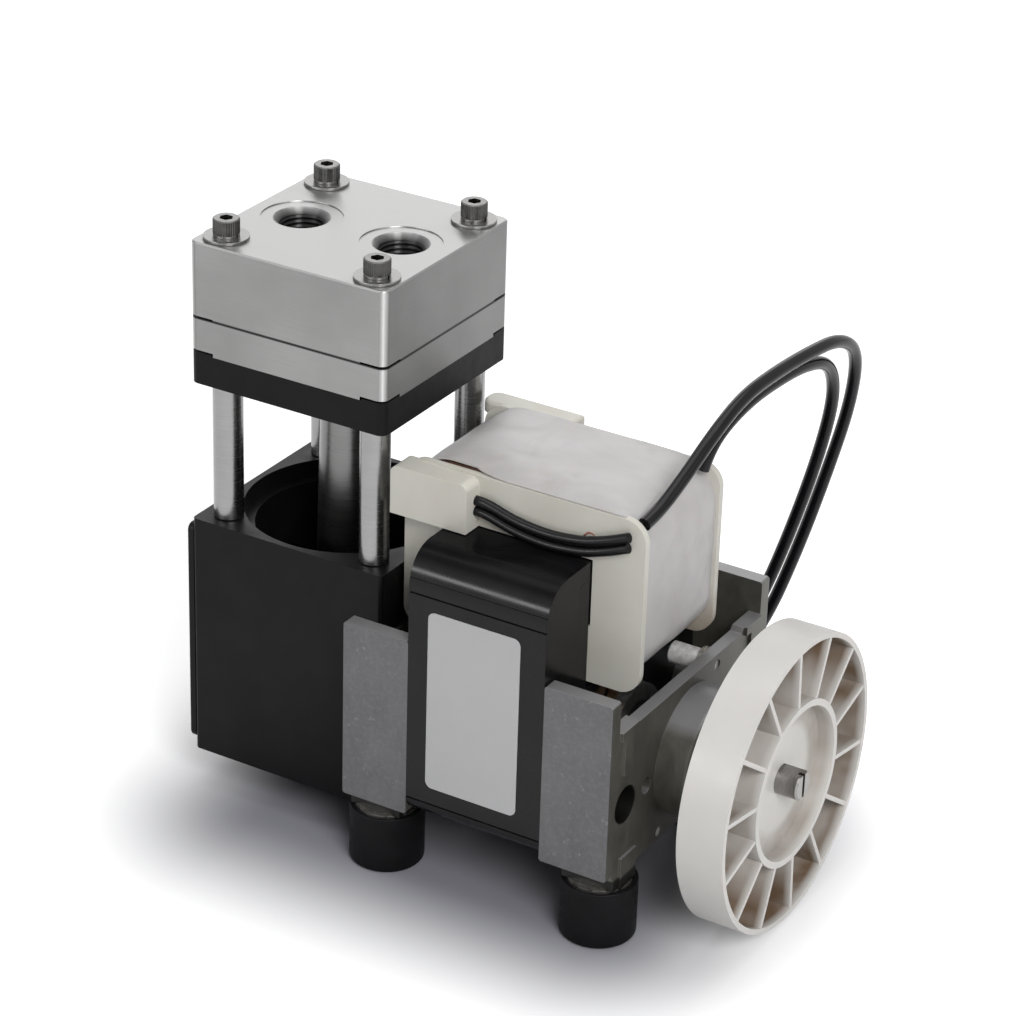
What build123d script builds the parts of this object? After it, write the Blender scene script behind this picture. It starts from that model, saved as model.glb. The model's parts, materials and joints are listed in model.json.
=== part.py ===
from build123d import *
import math
import os

# Diaphragm vacuum pump with a shaded-pole motor. Millimetres, +Z up, +X along the shaft towards the fan.
# The origin is on the floor, at the centre of the four feet.

# Feet, and the height of the shaft above them
foot_dia = 20.0
foot_height = 17.0
foot_inset_x = 7.3
foot_inset_y = 10.5
foot_plate_dia = 17.0
foot_plate_thickness = 1.5
foot_rim_gap = 0.4
foot_stud_dia = 5.0
foot_thread_dia = 4.2
foot_thread_depth = 8.0
foot_insert_dia = 8.0
foot_insert_floor = 1.5
shaft_above_pads = 24.0

# Motor iron
stack_length = 40.0
stack_depth = 83.0
stack_above_shaft = 57.5
stack_below_shaft = 18.0
leg_width = 21.0
core_height = 18.0
window_floor_above_shaft = 21.0
shoulder_radius = 9.5
toe_radius = 4.5
band_groove = 0.5
tongue_length = 5.0
tongue_height = 8.0
rotor_dia = 28.0
air_gap = 0.4
rotor_ring_dia = 26.0
rotor_ring_bore = 17.0
rotor_ring_length = 4.0
shading_radius = 16.8
shading_bar = 2.0
shading_from = 18.0
shading_to = 62.0
shading_overhang = 0.4

# End brackets
bracket_depth = 19.5
web_thickness = 3.5
plate_thickness = 4.2
plate_above_shaft = 31.8
plate_below_shaft = 18.9
web_above_shaft = 21.3
web_below_shaft = 20.2
shoulder_rise = 1.2
shoulder_width = 9.0
boss_dia = 36.0
boss_length = 10.0
bolt_inset = 8.5
bolt_dia = 4.0
bolt_lug_dia = 14.0
bolt_pocket_dia = 10.0
bolt_seat = 4.0
bolt_head_dia = 7.0
bolt_head_length = 3.2
body_screw_pitch = 44.0
body_screw_hole = 4.7
pad_width = 8.0
pad_length = 15.0
pad_height = 9.0
pad_proud = 0.8
mark_inset = 4.5
mark_bar = 8.4
mark_bar_height = 2.5
mark_stem = 4.2
mark_stem_inset = 6.1
mark_drop = 13.0

# Bearings and shaft
shaft_dia = 8.0
bearing_dia = 22.0
bearing_width = 7.0
bearing_split_dia = 13.2
ring_gap = 0.1
shaft_hole_dia = 12.0
retainer_thickness = 1.0
retainer_width = 25.0
retainer_ear = 8.0
retainer_screw_y = 14.0
retainer_screw_z = 18.0
retainer_post_dia = 6.0
retainer_post_length = 9.0

# Fan
fan_dia = 80.0
fan_depth = 13.0
fan_gap = 8.5
fan_wall = 1.5
fan_floor = 2.0
fan_rib = 1.2
fan_ribs = 14
fan_rib_phase = 16.3
hub_ring_dia = 45.0
hub_ring_wall = 1.8
hub_recess = 4.6
hub_sleeve_dia = 16.0
hub_sleeve_reach = 5.5
shaft_tip = 1.8

# Crankcase
crank_to_web = 25.9
case_side = 59.5
case_height = 70.0
case_below_shaft = 29.5
case_corner = 1.2
case_floor = 5.0
bore_dia = 50.0
ledge_dia = 56.0
ledge_depth = 4.8
window_dia = 40.0
cover_thickness = 2.15
cover_margin = 2.0
cover_screw_pitch_y = 48.0
cover_screw_inset_top = 12.0
cover_screw_inset_bottom = 8.0
cover_screw_dia = 3.0
cover_screw_grip = 7.0
body_screw_grip = 8.5

# Crank
stroke = 5.0
journal_dia = 15.0
crank_bearing_dia = 24.0
crank_bearing_width = 5.0
crank_split_dia = 17.6
counterweight_radius = 20.0
counterweight_width = 6.0
crank_hub_dia = 22.0
crank_washer_dia = 16.8
crank_washer_thickness = 1.2
big_end_dia = 31.0
big_end_width = 8.0
blade_above_pin = 24.0
rod_foot_dia = 17.0
rod_top_dia = 15.0
rod_neck_dia = 12.0
rod_taper = 3.0
rod_flange_dia = 24.0
rod_flange_thickness = 2.5

# Head
head_side = 59.5
head_corner = 2.4
post_gap = 39.5
ring_thickness = 8.5
plate_height = 10.0
cover_height = 20.8
head_pitch = 45.6
post_dia = 8.0
post_spigot_dia = 4.2
post_spigot_length = 7.5
head_screw_dia = 4.0
head_screw_grip = 11.0
head_screw_cap_dia = 7.0
head_screw_cap = 4.0
socket_size = 3.0
socket_depth = 2.2
lock_washer_dia = 6.9
lock_washer_thickness = 0.7
washer_dia = 12.0
washer_thickness = 0.8
corner_relief = 7.3
relief_gap = 0.5
step_height = 1.0
port_pitch = 30.4
port_bore_dia = 11.8
port_mouth_dia = 15.0
port_length = 12.8
port_face_dia = 21.6
port_face_depth = 0.3

# Diaphragm and valves
diaphragm_dia = 50.0
diaphragm_thickness = 1.6
chamber_dia = 43.0
ring_opening_dia = 32.0
clamp_disc_dia = 22.0
clamp_disc_thickness = 2.2
diaphragm_screw_dia = 5.0
diaphragm_screw_head = 9.0
diaphragm_screw_length = 14.0
head_clearance = 0.5
valve_pitch = 27.0
valve_dia = 13.0
valve_thickness = 0.5
valve_lift = 0.7
valve_pocket_gap = 0.5
pin_dia = 2.0
pin_head_dia = 5.0
pin_head_thickness = 0.5
passage_dia = 2.2
passage_circle = 8.4
plenum_dia = 17.0
seal_width = 1.6
seal_depth = 1.2
seal_land = 1.0

# Coil
flange_overhang = 15.0
flange_height = 48.5
flange_thickness = 2.0
flange_corner = 6.0
flange_drop = 1.0
tube_wall = 1.2
coil_overhang = 14.5
coil_height = 50.0
coil_corner = 11.0
wrap_thickness = 1.2
fuse_block_length = 22.6
fuse_block_depth = 6.3
lip_block_length = 27.3
lip_block_height = 11.5
lip_thickness = 3.4
lip_slot = 3.2
lip_overhang = 2.0
lip_drop = 0.3
lip_round = 3.0
sleeve_dia = 2.6
sleeve_spacing = 0.3
sleeve_sag = 3.6
sleeve_depth = 3.0
sleeve_end_inset = 4.0
sleeve_steps = ((3.0, 3.6), (12.0, 0.9), (22.0, 0.0), (32.0, 1.2), (39.0, 3.6))
sleeve_end_rise = 5.8

# Label, leads and clearances
label_width = 26.9
label_height = 51.0
label_thickness = 0.25
label_corner = 2.0
label_above_shaft = 17.0
lead_dia = 3.6
fit_gap = 0.05
loose_gap = 0.3
touch_gap = 0.2

# Places worked out from the sizes above
shaft_z = foot_height + shaft_above_pads
stack_x = stack_length / 2
stack_y = stack_depth / 2
window_y = stack_y - leg_width
stack_top = shaft_z + stack_above_shaft
core_bottom = stack_top - core_height
core_mid = stack_top - core_height / 2
web_x = stack_x + bracket_depth
web_inner_x = web_x - web_thickness
plate_inner_y = stack_y - plate_thickness
boss_x = web_x + boss_length
bolt_y = stack_y - bolt_inset
foot_pitch_x = 2 * (web_x - foot_inset_x)
foot_pitch_y = stack_depth - 2 * foot_inset_y
crank_x = -(web_x + crank_to_web)
throw = stroke / 2
pin_z = shaft_z + throw
case_bottom = shaft_z - case_below_shaft
case_top = case_bottom + case_height
ring_bottom = case_top + post_gap
ring_top = ring_bottom + ring_thickness
plate_top = ring_top + plate_height
cover_top = plate_top + cover_height
diaphragm_low = ring_top - diaphragm_thickness
flange_top_z = diaphragm_low + throw
disc_low = flange_top_z + diaphragm_thickness
disc_top = disc_low + clamp_disc_thickness
chamber_top = disc_top + head_clearance
valve_seat_low = chamber_top + valve_lift + valve_thickness + pin_head_thickness + ring_gap
valve_x = valve_pitch / 2
port_x = port_pitch / 2
plenum_top = cover_top - port_length
fan_back = boss_x + fan_gap
fan_front = fan_back + fan_depth
hub_face = fan_front - hub_recess
shaft_low_x = crank_x - crank_bearing_width / 2
counterweight_x = crank_x + big_end_width / 2 + relief_gap
shaft_high_x = fan_front + shaft_tip
flange_width = stack_length + 2 * flange_overhang
coil_width = stack_length + 2 * coil_overhang
flange_y = window_y - loose_gap
flange_top = core_mid - flange_drop + flange_height / 2
flange_bottom = flange_top - flange_height
sleeve_y = -flange_y - sleeve_dia / 2 - touch_gap
fuse_block_x = -flange_width / 2 - 0.6


def block(x0, x1, y0, y1, z0, z1):
    """Box between two corners."""
    return Pos(x0, y0, z0) * Box(x1 - x0, y1 - y0, z1 - z0, align=(Align.MIN,) * 3)


def rod_x(dia, x0, x1, y=0.0, z=shaft_z):
    """Cylinder along X between two planes."""
    return extrude(Plane((x0, y, z), x_dir=(0, 1, 0), z_dir=(1, 0, 0)) * Circle(dia / 2), x1 - x0)


def rod_z(dia, z0, z1, x=0.0, y=0.0):
    """Cylinder along Z between two planes."""
    return extrude(Plane((x, y, z0)) * Circle(dia / 2), z1 - z0)


def side_plane(x):
    """Sketch plane across the shaft: its x is the row's Y, and its y is the row's Z."""
    return Plane((x, 0, 0), x_dir=(0, 1, 0), z_dir=(1, 0, 0))


def square_plate(side, corner, z0, z1):
    """Square plate with rounded corners, centred on the crank axis."""
    return extrude(Plane((crank_x, 0, z0)) * RectangleRounded(side, side, corner), z1 - z0)


def pattern(pitch_x, pitch_y, x=0.0, y=0.0):
    """Four places on a rectangle."""
    return [(x + i * pitch_x / 2, y + j * pitch_y / 2) for i in (-1, 1) for j in (-1, 1)]


def head_places():
    return pattern(head_pitch, head_pitch, crank_x)


def foot_places():
    return pattern(foot_pitch_x, foot_pitch_y)


def corner_blocks(size, z0, z1):
    """Square blocks over the four corners of the head."""
    half = head_side / 2
    return [
        block(*sorted((crank_x + i * half, crank_x + i * (half - size))),
              *sorted((j * half, j * (half - size))), z0, z1)
        for i in (-1, 1) for j in (-1, 1)
    ]


# ---------------------------------------------------------------- head

def head_cover():
    body = square_plate(head_side, head_corner, plate_top, cover_top)
    body = chamfer(body.faces().sort_by(Axis.Z)[-1].edges(), 0.4)
    for cut in corner_blocks(corner_relief, plate_top, plate_top + relief_gap):
        body -= cut
    for x, y in head_places():
        body -= rod_z(head_screw_dia + 2 * touch_gap, plate_top, cover_top, x, y)
    for i in (-1, 1):
        x = crank_x + i * port_x
        mouth = (port_mouth_dia - port_bore_dia) / 2
        body -= rod_z(port_face_dia, cover_top - port_face_depth, cover_top, x)
        body -= rod_z(port_bore_dia, plenum_top, cover_top, x)
        body -= Pos(x, 0, cover_top - port_face_depth - mouth) * Cone(
            port_bore_dia / 2, port_mouth_dia / 2, mouth, align=(Align.CENTER, Align.CENTER, Align.MIN))
        body -= rod_z(plenum_dia, plate_top, plenum_top, crank_x + i * valve_x)
        body -= seal_ring(crank_x + i * valve_x, fit_gap)
    return body


def seal_ring(x, gap):
    """Flat ring round a plenum; gap widens it into its groove."""
    inner = plenum_dia + 2 * seal_land
    outer = inner + 2 * seal_width
    height = seal_depth + gap
    return rod_z(outer + 2 * gap, plate_top, plate_top + height, x) - rod_z(
        inner - 2 * gap, plate_top, plate_top + height, x)


def plenum_seals():
    return [seal_ring(crank_x + i * valve_x, 0.0) for i in (-1, 1)]


def valve_plate():
    body = square_plate(head_side, head_corner, ring_top, plate_top)
    body -= rod_z(chamber_dia, ring_top, chamber_top, crank_x)
    for cut in corner_blocks(corner_relief, ring_top, ring_top + step_height):
        body -= cut
    pocket = valve_dia + 2 * valve_pocket_gap
    body -= rod_z(pocket, chamber_top, valve_seat_low, crank_x - valve_x)
    for i in (-1, 1):
        x = crank_x + i * valve_x
        body -= rod_z(pin_dia, ring_top, plate_top, x)
        for k in range(6):
            a = math.radians(60 * k)
            px = x + passage_circle / 2 * math.cos(a)
            body -= rod_z(passage_dia, ring_top, plate_top, px, passage_circle / 2 * math.sin(a))
    for x, y in head_places():
        body -= rod_z(head_screw_dia + 2 * touch_gap, ring_top, plate_top, x, y)
    return body


def valve_disc(x, z):
    """Thin disc, bored to slide on its pin."""
    return rod_z(valve_dia, z, z + valve_thickness, x) - rod_z(pin_dia + 2 * fit_gap, z, z + valve_thickness, x)


def inlet_valve_disc():
    return valve_disc(crank_x - valve_x, valve_seat_low - valve_thickness)


def outlet_valve_disc():
    return valve_disc(crank_x + valve_x, plate_top)


def inlet_valve_pin():
    x = crank_x - valve_x
    head_top = valve_seat_low - valve_thickness - valve_lift - ring_gap
    return rod_z(pin_dia, head_top, plate_top, x) + rod_z(pin_head_dia, head_top - pin_head_thickness, head_top, x)


def outlet_valve_pin():
    x = crank_x + valve_x
    head_low = plate_top + valve_thickness + valve_lift + ring_gap
    return rod_z(pin_dia, chamber_top, head_low, x) + rod_z(pin_head_dia, head_low, head_low + pin_head_thickness, x)


def diaphragm():
    """Dished disc: clamped flat at its rim and lifted at its centre by the rod."""
    rim, flex = diaphragm_dia / 2, chamber_dia / 2 - loose_gap
    hub = rod_flange_dia / 2 + loose_gap
    t, low, high = diaphragm_thickness, diaphragm_low, flange_top_z
    hole = diaphragm_screw_dia / 2
    outline = Polyline(
        (hole, high), (hub, high), (flex, low), (rim, low),
        (rim, low + t), (flex, low + t), (hub, high + t), (hole, high + t), close=True)
    face = Plane((crank_x, 0, 0), x_dir=(1, 0, 0), z_dir=(0, -1, 0)) * make_face(outline)
    return revolve(face, Axis((crank_x, 0, 0), (0, 0, 1)))


def countersink(x, z_top, shank, head, depth):
    """Countersunk head and shank of a screw that points down."""
    cone_height = (head - shank) / 2
    cone = Pos(x, 0, z_top - cone_height) * Cone(
        shank / 2, head / 2, cone_height, align=(Align.CENTER, Align.CENTER, Align.MIN))
    return cone + rod_z(shank, z_top - depth, z_top - cone_height, x)


def diaphragm_screw():
    solid = countersink(crank_x, disc_top, diaphragm_screw_dia, diaphragm_screw_head, diaphragm_screw_length)
    return solid - hex_socket(crank_x, 0, disc_top, socket_size, 1.6)


def diaphragm_clamp_disc():
    disc = rod_z(clamp_disc_dia, disc_low, disc_top, crank_x)
    return disc - countersink(crank_x, disc_top, diaphragm_screw_dia, diaphragm_screw_head, diaphragm_screw_length)


def clamp_ring():
    body = square_plate(head_side, head_corner, ring_bottom, ring_top)
    for pad in corner_blocks(corner_relief - relief_gap, ring_top, ring_top + step_height - relief_gap):
        body += pad & square_plate(head_side, head_corner, ring_top, ring_top + step_height)
    body -= rod_z(ring_opening_dia, ring_bottom, ring_top, crank_x)
    body -= rod_z(diaphragm_dia + 2 * touch_gap, diaphragm_low, ring_top, crank_x)
    flare = (chamber_dia - ring_opening_dia) / 2
    body -= Pos(crank_x, 0, diaphragm_low - flare) * Cone(
        ring_opening_dia / 2, chamber_dia / 2, flare, align=(Align.CENTER, Align.CENTER, Align.MIN))
    for x, y in head_places():
        body -= rod_z(head_screw_dia + 2 * touch_gap, ring_bottom, ring_top + step_height, x, y)
    return body


def hex_socket(x, y, z_top, size, depth):
    """Six-sided pocket across flats, open at the top."""
    return extrude(Plane((x, y, z_top)) * RegularPolygon(size / math.sqrt(3), 6), -depth)


def head_screws():
    seat = cover_top + washer_thickness + lock_washer_thickness
    screws = []
    for x, y in head_places():
        cap = rod_z(head_screw_cap_dia, seat, seat + head_screw_cap, x, y)
        cap = chamfer(cap.edges().sort_by(Axis.Z)[-1], 0.4)
        shank = rod_z(head_screw_dia, ring_bottom - head_screw_grip, seat, x, y)
        screws.append(cap + shank - hex_socket(x, y, seat + head_screw_cap, socket_size, socket_depth))
    return screws


def ring_washers(dia, z, thickness):
    hole = head_screw_dia + touch_gap
    return [
        rod_z(dia, z, z + thickness, x, y) - rod_z(hole, z, z + thickness, x, y)
        for x, y in head_places()
    ]


def head_washers():
    return ring_washers(washer_dia, cover_top, washer_thickness)


def head_lock_washers():
    return ring_washers(lock_washer_dia, cover_top + washer_thickness, lock_washer_thickness)


def standoff_posts():
    posts = []
    for x, y in head_places():
        post = chamfer(rod_z(post_dia, case_top, ring_bottom, x, y).edges(), 0.3)
        post += rod_z(post_spigot_dia, case_top - post_spigot_length, case_top, x, y)
        post -= rod_z(head_screw_dia, ring_bottom - head_screw_grip - relief_gap, ring_bottom, x, y)
        posts.append(post)
    return posts


# ---------------------------------------------------------------- crankcase

def crankcase():
    half = case_side / 2
    body = extrude(Plane((crank_x, 0, case_bottom)) * RectangleRounded(case_side, case_side, case_corner), case_height)
    shelf = shaft_z + web_above_shaft + shoulder_rise + relief_gap
    for x, y in foot_places():
        body -= rod_z(foot_dia + 2 * relief_gap, case_bottom, foot_height + relief_gap, x, y)
    body -= block(-web_x, crank_x + half, -half, half, case_bottom, shelf)
    body -= rod_z(bore_dia, case_bottom + case_floor, case_top, crank_x)
    body -= rod_z(ledge_dia, case_top - ledge_depth, case_top, crank_x)
    body -= rod_x(window_dia, crank_x - half, crank_x)
    body -= rod_x(boss_dia + 2 * fit_gap, crank_x, -web_x)
    for x, y in head_places():
        body -= rod_z(post_spigot_dia, case_top - post_spigot_length - relief_gap, case_top, x, y)
    for y, z in cover_screw_places():
        body -= rod_x(cover_screw_dia, crank_x - half, crank_x - half + cover_screw_grip + relief_gap, y, z)
    for y in (-body_screw_pitch / 2, body_screw_pitch / 2):
        body -= rod_x(bolt_dia, -web_x - body_screw_grip - relief_gap, -web_x, y)
    return body


def cover_screw_places():
    y = cover_screw_pitch_y / 2
    rows = (case_bottom + cover_screw_inset_bottom, case_top - cover_screw_inset_top)
    return [(i * y, z) for i in (-1, 1) for z in rows]


def cover_screw(y, z, x_face):
    """Countersunk screw along +X, flush with the cover."""
    head = 2 * cover_screw_dia
    depth = (head - cover_screw_dia) / 2
    cone = Plane((x_face, y, z), x_dir=(0, 1, 0), z_dir=(1, 0, 0)) * Cone(
        head / 2, cover_screw_dia / 2, depth, align=(Align.CENTER, Align.CENTER, Align.MIN))
    return cone + rod_x(cover_screw_dia, x_face + depth, x_face + cover_thickness + cover_screw_grip, y, z)


def crankcase_cover():
    x_in = crank_x - case_side / 2
    x_out = x_in - cover_thickness
    height = case_height - 2 * cover_margin - 1.0
    mid = case_bottom + case_height / 2
    plate = extrude(side_plane(x_out) * Pos(0, mid) * RectangleRounded(case_side - 1.0, height, 2.0), cover_thickness)
    plate = chamfer(plate.faces().sort_by(Axis.X)[0].edges(), 0.4)
    for y, z in cover_screw_places():
        plate -= cover_screw(y, z, x_out)
    return plate


def cover_screws():
    x_out = crank_x - case_side / 2 - cover_thickness
    return [cover_screw(y, z, x_out) for y, z in cover_screw_places()]


def crankcase_screws():
    """Two screws from inside the pump-side bracket into the crankcase wall."""
    screws = []
    for y in (-body_screw_pitch / 2, body_screw_pitch / 2):
        head = rod_x(bolt_head_dia, -web_inner_x, -web_inner_x + bolt_head_length, y)
        screws.append(head + rod_x(bolt_dia, -web_x - body_screw_grip, -web_inner_x, y))
    return screws


# ---------------------------------------------------------------- crank and rod

def connecting_rod():
    ring = rod_x(big_end_dia, crank_x - big_end_width / 2, crank_x + big_end_width / 2, 0, pin_z)
    low, high = pin_z, flange_top_z
    neck = high - rod_flange_thickness
    outline = Polyline(
        (0, low), (rod_foot_dia / 2, low), (rod_foot_dia / 2, low + blade_above_pin),
        (rod_top_dia / 2, neck - 2 * rod_taper), (rod_neck_dia / 2, neck - rod_taper), (rod_neck_dia / 2, neck),
        (rod_flange_dia / 2, neck), (rod_flange_dia / 2, high), (0, high), close=True)
    face = Plane((crank_x, 0, 0), x_dir=(1, 0, 0), z_dir=(0, -1, 0)) * make_face(outline)
    stem = revolve(face, Axis((crank_x, 0, 0), (0, 0, 1)))
    for i in (-1, 1):
        x0, x1 = sorted((crank_x + i * big_end_width / 2, crank_x + i * rod_foot_dia))
        stem -= block(x0, x1, -rod_foot_dia, rod_foot_dia, low, low + blade_above_pin)
    body = ring + stem
    body -= rod_x(crank_bearing_dia, crank_x - big_end_width, crank_x + big_end_width, 0, pin_z)
    depth = diaphragm_screw_length - clamp_disc_thickness - diaphragm_thickness + relief_gap
    body -= rod_z(diaphragm_screw_dia, high - depth, high, crank_x)
    return body


def ring_between(outer, inner, x0, x1, z):
    return rod_x(outer, x0, x1, 0, z) - rod_x(inner, x0, x1, 0, z)


def rod_bearing_outer():
    half = crank_bearing_width / 2
    return ring_between(crank_bearing_dia, crank_split_dia + ring_gap, crank_x - half, crank_x + half, pin_z)


def rod_bearing_inner():
    half = crank_bearing_width / 2
    return ring_between(crank_split_dia - ring_gap, journal_dia, crank_x - half, crank_x + half, pin_z)


def eccentric():
    half = crank_bearing_width / 2
    x0 = counterweight_x
    x1 = x0 + counterweight_width
    journal = rod_x(journal_dia, crank_x - half, x0, 0, pin_z)
    journal += rod_x(crank_washer_dia, crank_x + half, x0, 0, pin_z)
    sweep_area = Circle(counterweight_radius) & Pos(0, -counterweight_radius) * Rectangle(
        2 * counterweight_radius, 2 * counterweight_radius - throw)
    profile = sweep_area + Circle(crank_hub_dia / 2)
    weight = extrude(side_plane(x0) * Pos(0, shaft_z) * profile, x1 - x0)
    body = journal + weight
    body -= rod_x(shaft_dia, crank_x - half, x1)
    body -= rod_z(bolt_dia, shaft_z, pin_z + crank_hub_dia, (x0 + x1) / 2)
    return body


def eccentric_screw():
    """Grub screw that locks the eccentric on the shaft."""
    x = counterweight_x + counterweight_width / 2
    low = shaft_z + shaft_dia / 2 + touch_gap
    high = shaft_z + crank_hub_dia / 2 - touch_gap
    return rod_z(bolt_dia, low, high, x) - hex_socket(x, 0, high, 2.0, 1.8)


def crank_washer():
    x1 = shaft_low_x
    disc = rod_x(crank_washer_dia, x1 - crank_washer_thickness, x1, 0, pin_z)
    return disc - rod_x(bolt_dia, x1 - crank_washer_thickness, x1)


def crank_screw():
    x1 = shaft_low_x - crank_washer_thickness
    head = chamfer(rod_x(bolt_head_dia, x1 - bolt_dia, x1).edges().sort_by(Axis.X)[0], 0.4)
    shank = rod_x(bolt_dia, x1, shaft_low_x + 10.0)
    socket = extrude(side_plane(x1 - bolt_dia) * Pos(0, shaft_z) * RegularPolygon(socket_size / math.sqrt(3), 6), 2.0)
    return head + shank - socket


def motor_shaft():
    shaft = rod_x(shaft_dia, shaft_low_x, shaft_high_x)
    shaft = chamfer(shaft.edges().filter_by(GeomType.CIRCLE), 0.5)
    shaft -= rod_x(bolt_dia, shaft_low_x, shaft_low_x + 10.5)
    slot = block(shaft_high_x - 1.6, shaft_high_x, -0.6, 0.6, shaft_z - shaft_dia, shaft_z + shaft_dia)
    flat = block(hub_face, shaft_high_x, -shaft_dia, shaft_dia, shaft_z + shaft_dia / 2 - 0.8, shaft_z + shaft_dia)
    return shaft - slot - flat


# ---------------------------------------------------------------- motor

def shading_place(side, angle):
    """Place of one shading bar, across the shaft; the two poles are each other turned half round."""
    a = math.radians(180 - angle)
    return side * shading_radius * math.cos(a), shaft_z + side * shading_radius * math.sin(a)


def stator_frame():
    height = stack_above_shaft + stack_below_shaft
    outer = Pos(0, stack_top - height / 2) * Rectangle(stack_depth, height)
    outer = fillet(outer.vertices().group_by(Axis.Y)[-1], shoulder_radius)
    outer = fillet(outer.vertices().group_by(Axis.Y)[0], toe_radius)
    floor = shaft_z + window_floor_above_shaft
    window = Pos(0, (floor + stack_top) / 2) * Rectangle(2 * window_y, stack_top - floor)
    tongue = Pos(0, core_mid) * Rectangle(2 * (window_y + tongue_length), tongue_height)
    bore = Pos(0, shaft_z) * Circle(rotor_dia / 2 + air_gap)
    notch_top = floor - (shaft_z + rotor_dia / 2 + air_gap) - 1.5
    notch = Pos(0, floor - notch_top / 2) * Rectangle(3.0, notch_top)
    profile = outer - window - tongue - bore - notch
    for i in (-1, 1):
        profile -= Pos(i * bolt_y, shaft_z) * Circle(bolt_dia / 2 + touch_gap)
        for z in (stack_top - shoulder_radius + 2.6, stack_top - shoulder_radius - 1.6,
                  shaft_z - stack_below_shaft + toe_radius):
            profile -= Pos(i * stack_y, z) * Rectangle(2 * band_groove, band_groove)
        for angle in (shading_from, shading_to):
            y, z = shading_place(i, angle)
            profile -= Pos(y, z) * Rectangle(shading_bar + 2 * fit_gap, shading_bar + 2 * fit_gap)
    return extrude(side_plane(-stack_x) * profile, stack_length)


def core_bar():
    """Straight iron bar through the coil, tongued into both legs of the frame."""
    bar = Pos(0, core_mid) * Rectangle(2 * window_y, core_height)
    tongue = Pos(0, core_mid) * Rectangle(2 * (window_y + tongue_length - fit_gap), tongue_height - 2 * fit_gap)
    return extrude(side_plane(-stack_x) * (bar + tongue), stack_length)


def shading_rings():
    """Closed copper straps round part of each pole."""
    reach = stack_x + shading_overhang
    rings = []
    for side in (-1, 1):
        (y0, z0), (y1, z1) = (shading_place(side, angle) for angle in (shading_from, shading_to))
        span = math.hypot(y1 - y0, z1 - z0)
        tilt = math.degrees(math.atan2(z1 - z0, y1 - y0))
        half = shading_bar / 2
        ring = block(-reach, reach, y0 - half, y0 + half, z0 - half, z0 + half)
        ring += block(-reach, reach, y1 - half, y1 + half, z1 - half, z1 + half)
        bar = Rot(0, 0, tilt) * Rectangle(span + 1.5 * shading_bar, shading_bar)
        for x in (-reach - shading_bar, reach):
            ring += extrude(side_plane(x) * Pos((y0 + y1) / 2, (z0 + z1) / 2) * bar, shading_bar)
        rings.append(ring)
    return rings


def rotor_core():
    return ring_between(rotor_dia, shaft_dia, -stack_x, stack_x, shaft_z)


def rotor_end_rings():
    return [
        ring_between(rotor_ring_dia, rotor_ring_bore, x, x + rotor_ring_length, shaft_z)
        for x in (-stack_x - rotor_ring_length, stack_x)
    ]


def bracket(proud):
    """Cast U-shaped end bracket on the fan side; proud is how far its lug faces stand out."""
    web_low, web_high = shaft_z - web_below_shaft, shaft_z + web_above_shaft
    crest = web_high + shoulder_rise
    step = plate_inner_y - shoulder_width
    web = Polyline(
        (-plate_inner_y - 1, web_low), (plate_inner_y + 1, web_low), (plate_inner_y + 1, crest),
        (step, crest), (step - shoulder_rise, web_high), (shoulder_rise - step, web_high),
        (-step, crest), (-plate_inner_y - 1, crest), close=True)
    body = extrude(side_plane(web_inner_x) * make_face(web), web_thickness)
    low, high = shaft_z - plate_below_shaft, shaft_z + plate_above_shaft
    for i in (-1, 1):
        y0, y1 = sorted((i * plate_inner_y, i * stack_y))
        plate = block(stack_x, web_x, y0, y1, low, high)
        body += chamfer(plate.edges().filter_by(Axis.Y), 0.5)
        body += rod_x(bolt_lug_dia, stack_x, web_x, i * bolt_y) & block(
            stack_x, web_x, -stack_y, stack_y, low, high)
        y0, y1 = sorted((i * (foot_pitch_y / 2 - pad_width / 2), i * plate_inner_y))
        body += block(web_x - pad_length, web_x, y0, y1, foot_height, foot_height + pad_height)
    boss = rod_x(boss_dia, web_inner_x, boss_x)
    body += fillet(boss.edges().sort_by(Axis.X)[-1], 2.0)
    if proud:
        body += bracket_marks(proud)
    body -= rod_x(bearing_dia, web_inner_x, web_inner_x + touch_gap + bearing_width)
    body -= rod_x(shaft_hole_dia, web_inner_x, boss_x)
    for i in (-1, 1):
        body -= rod_x(bolt_pocket_dia, stack_x + bolt_seat, web_x + proud, i * bolt_y)
        body -= rod_x(bolt_dia + 2 * touch_gap, stack_x, web_x, i * bolt_y)
        body -= rod_x(body_screw_hole, web_inner_x, web_x, i * body_screw_pitch / 2)
        body -= rod_x(3.0, web_inner_x, web_x, i * retainer_screw_y, shaft_z + i * retainer_screw_z)
        body -= rod_z(foot_stud_dia, foot_height, foot_height + pad_height,
                      foot_pitch_x / 2, i * foot_pitch_y / 2)
    return body


def bracket_marks(proud):
    """Lug ends that stand a little out of the web: a T at the top and a pad end at the foot."""
    crest = shaft_z + web_above_shaft + shoulder_rise
    marks = None
    for i in (-1, 1):
        foot_y, bar_y = foot_pitch_y / 2 - pad_width / 2, stack_y - mark_inset - mark_bar
        stem_y = stack_y - mark_stem_inset - mark_stem
        low = crest - mark_bar_height
        x0, x1 = web_x - 1, web_x + proud
        foot = block(x0, x1, *sorted((i * foot_y, i * (foot_y + pad_width))), foot_height, foot_height + pad_height)
        bar = block(x0, x1, *sorted((i * bar_y, i * (bar_y + mark_bar))), low, crest)
        stem = block(x0, x1, *sorted((i * stem_y, i * (stem_y + mark_stem))), crest - mark_drop, low)
        marks = foot + bar + stem if marks is None else marks + foot + bar + stem
    return marks


def fan_side_bracket():
    return bracket(pad_proud)


def pump_side_bracket():
    return mirror(bracket(0.0), Plane.YZ)


def both_ends(solid):
    """A piece on the fan side, and its mirror image on the pump side."""
    return [solid, mirror(solid, Plane.YZ)]


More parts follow.
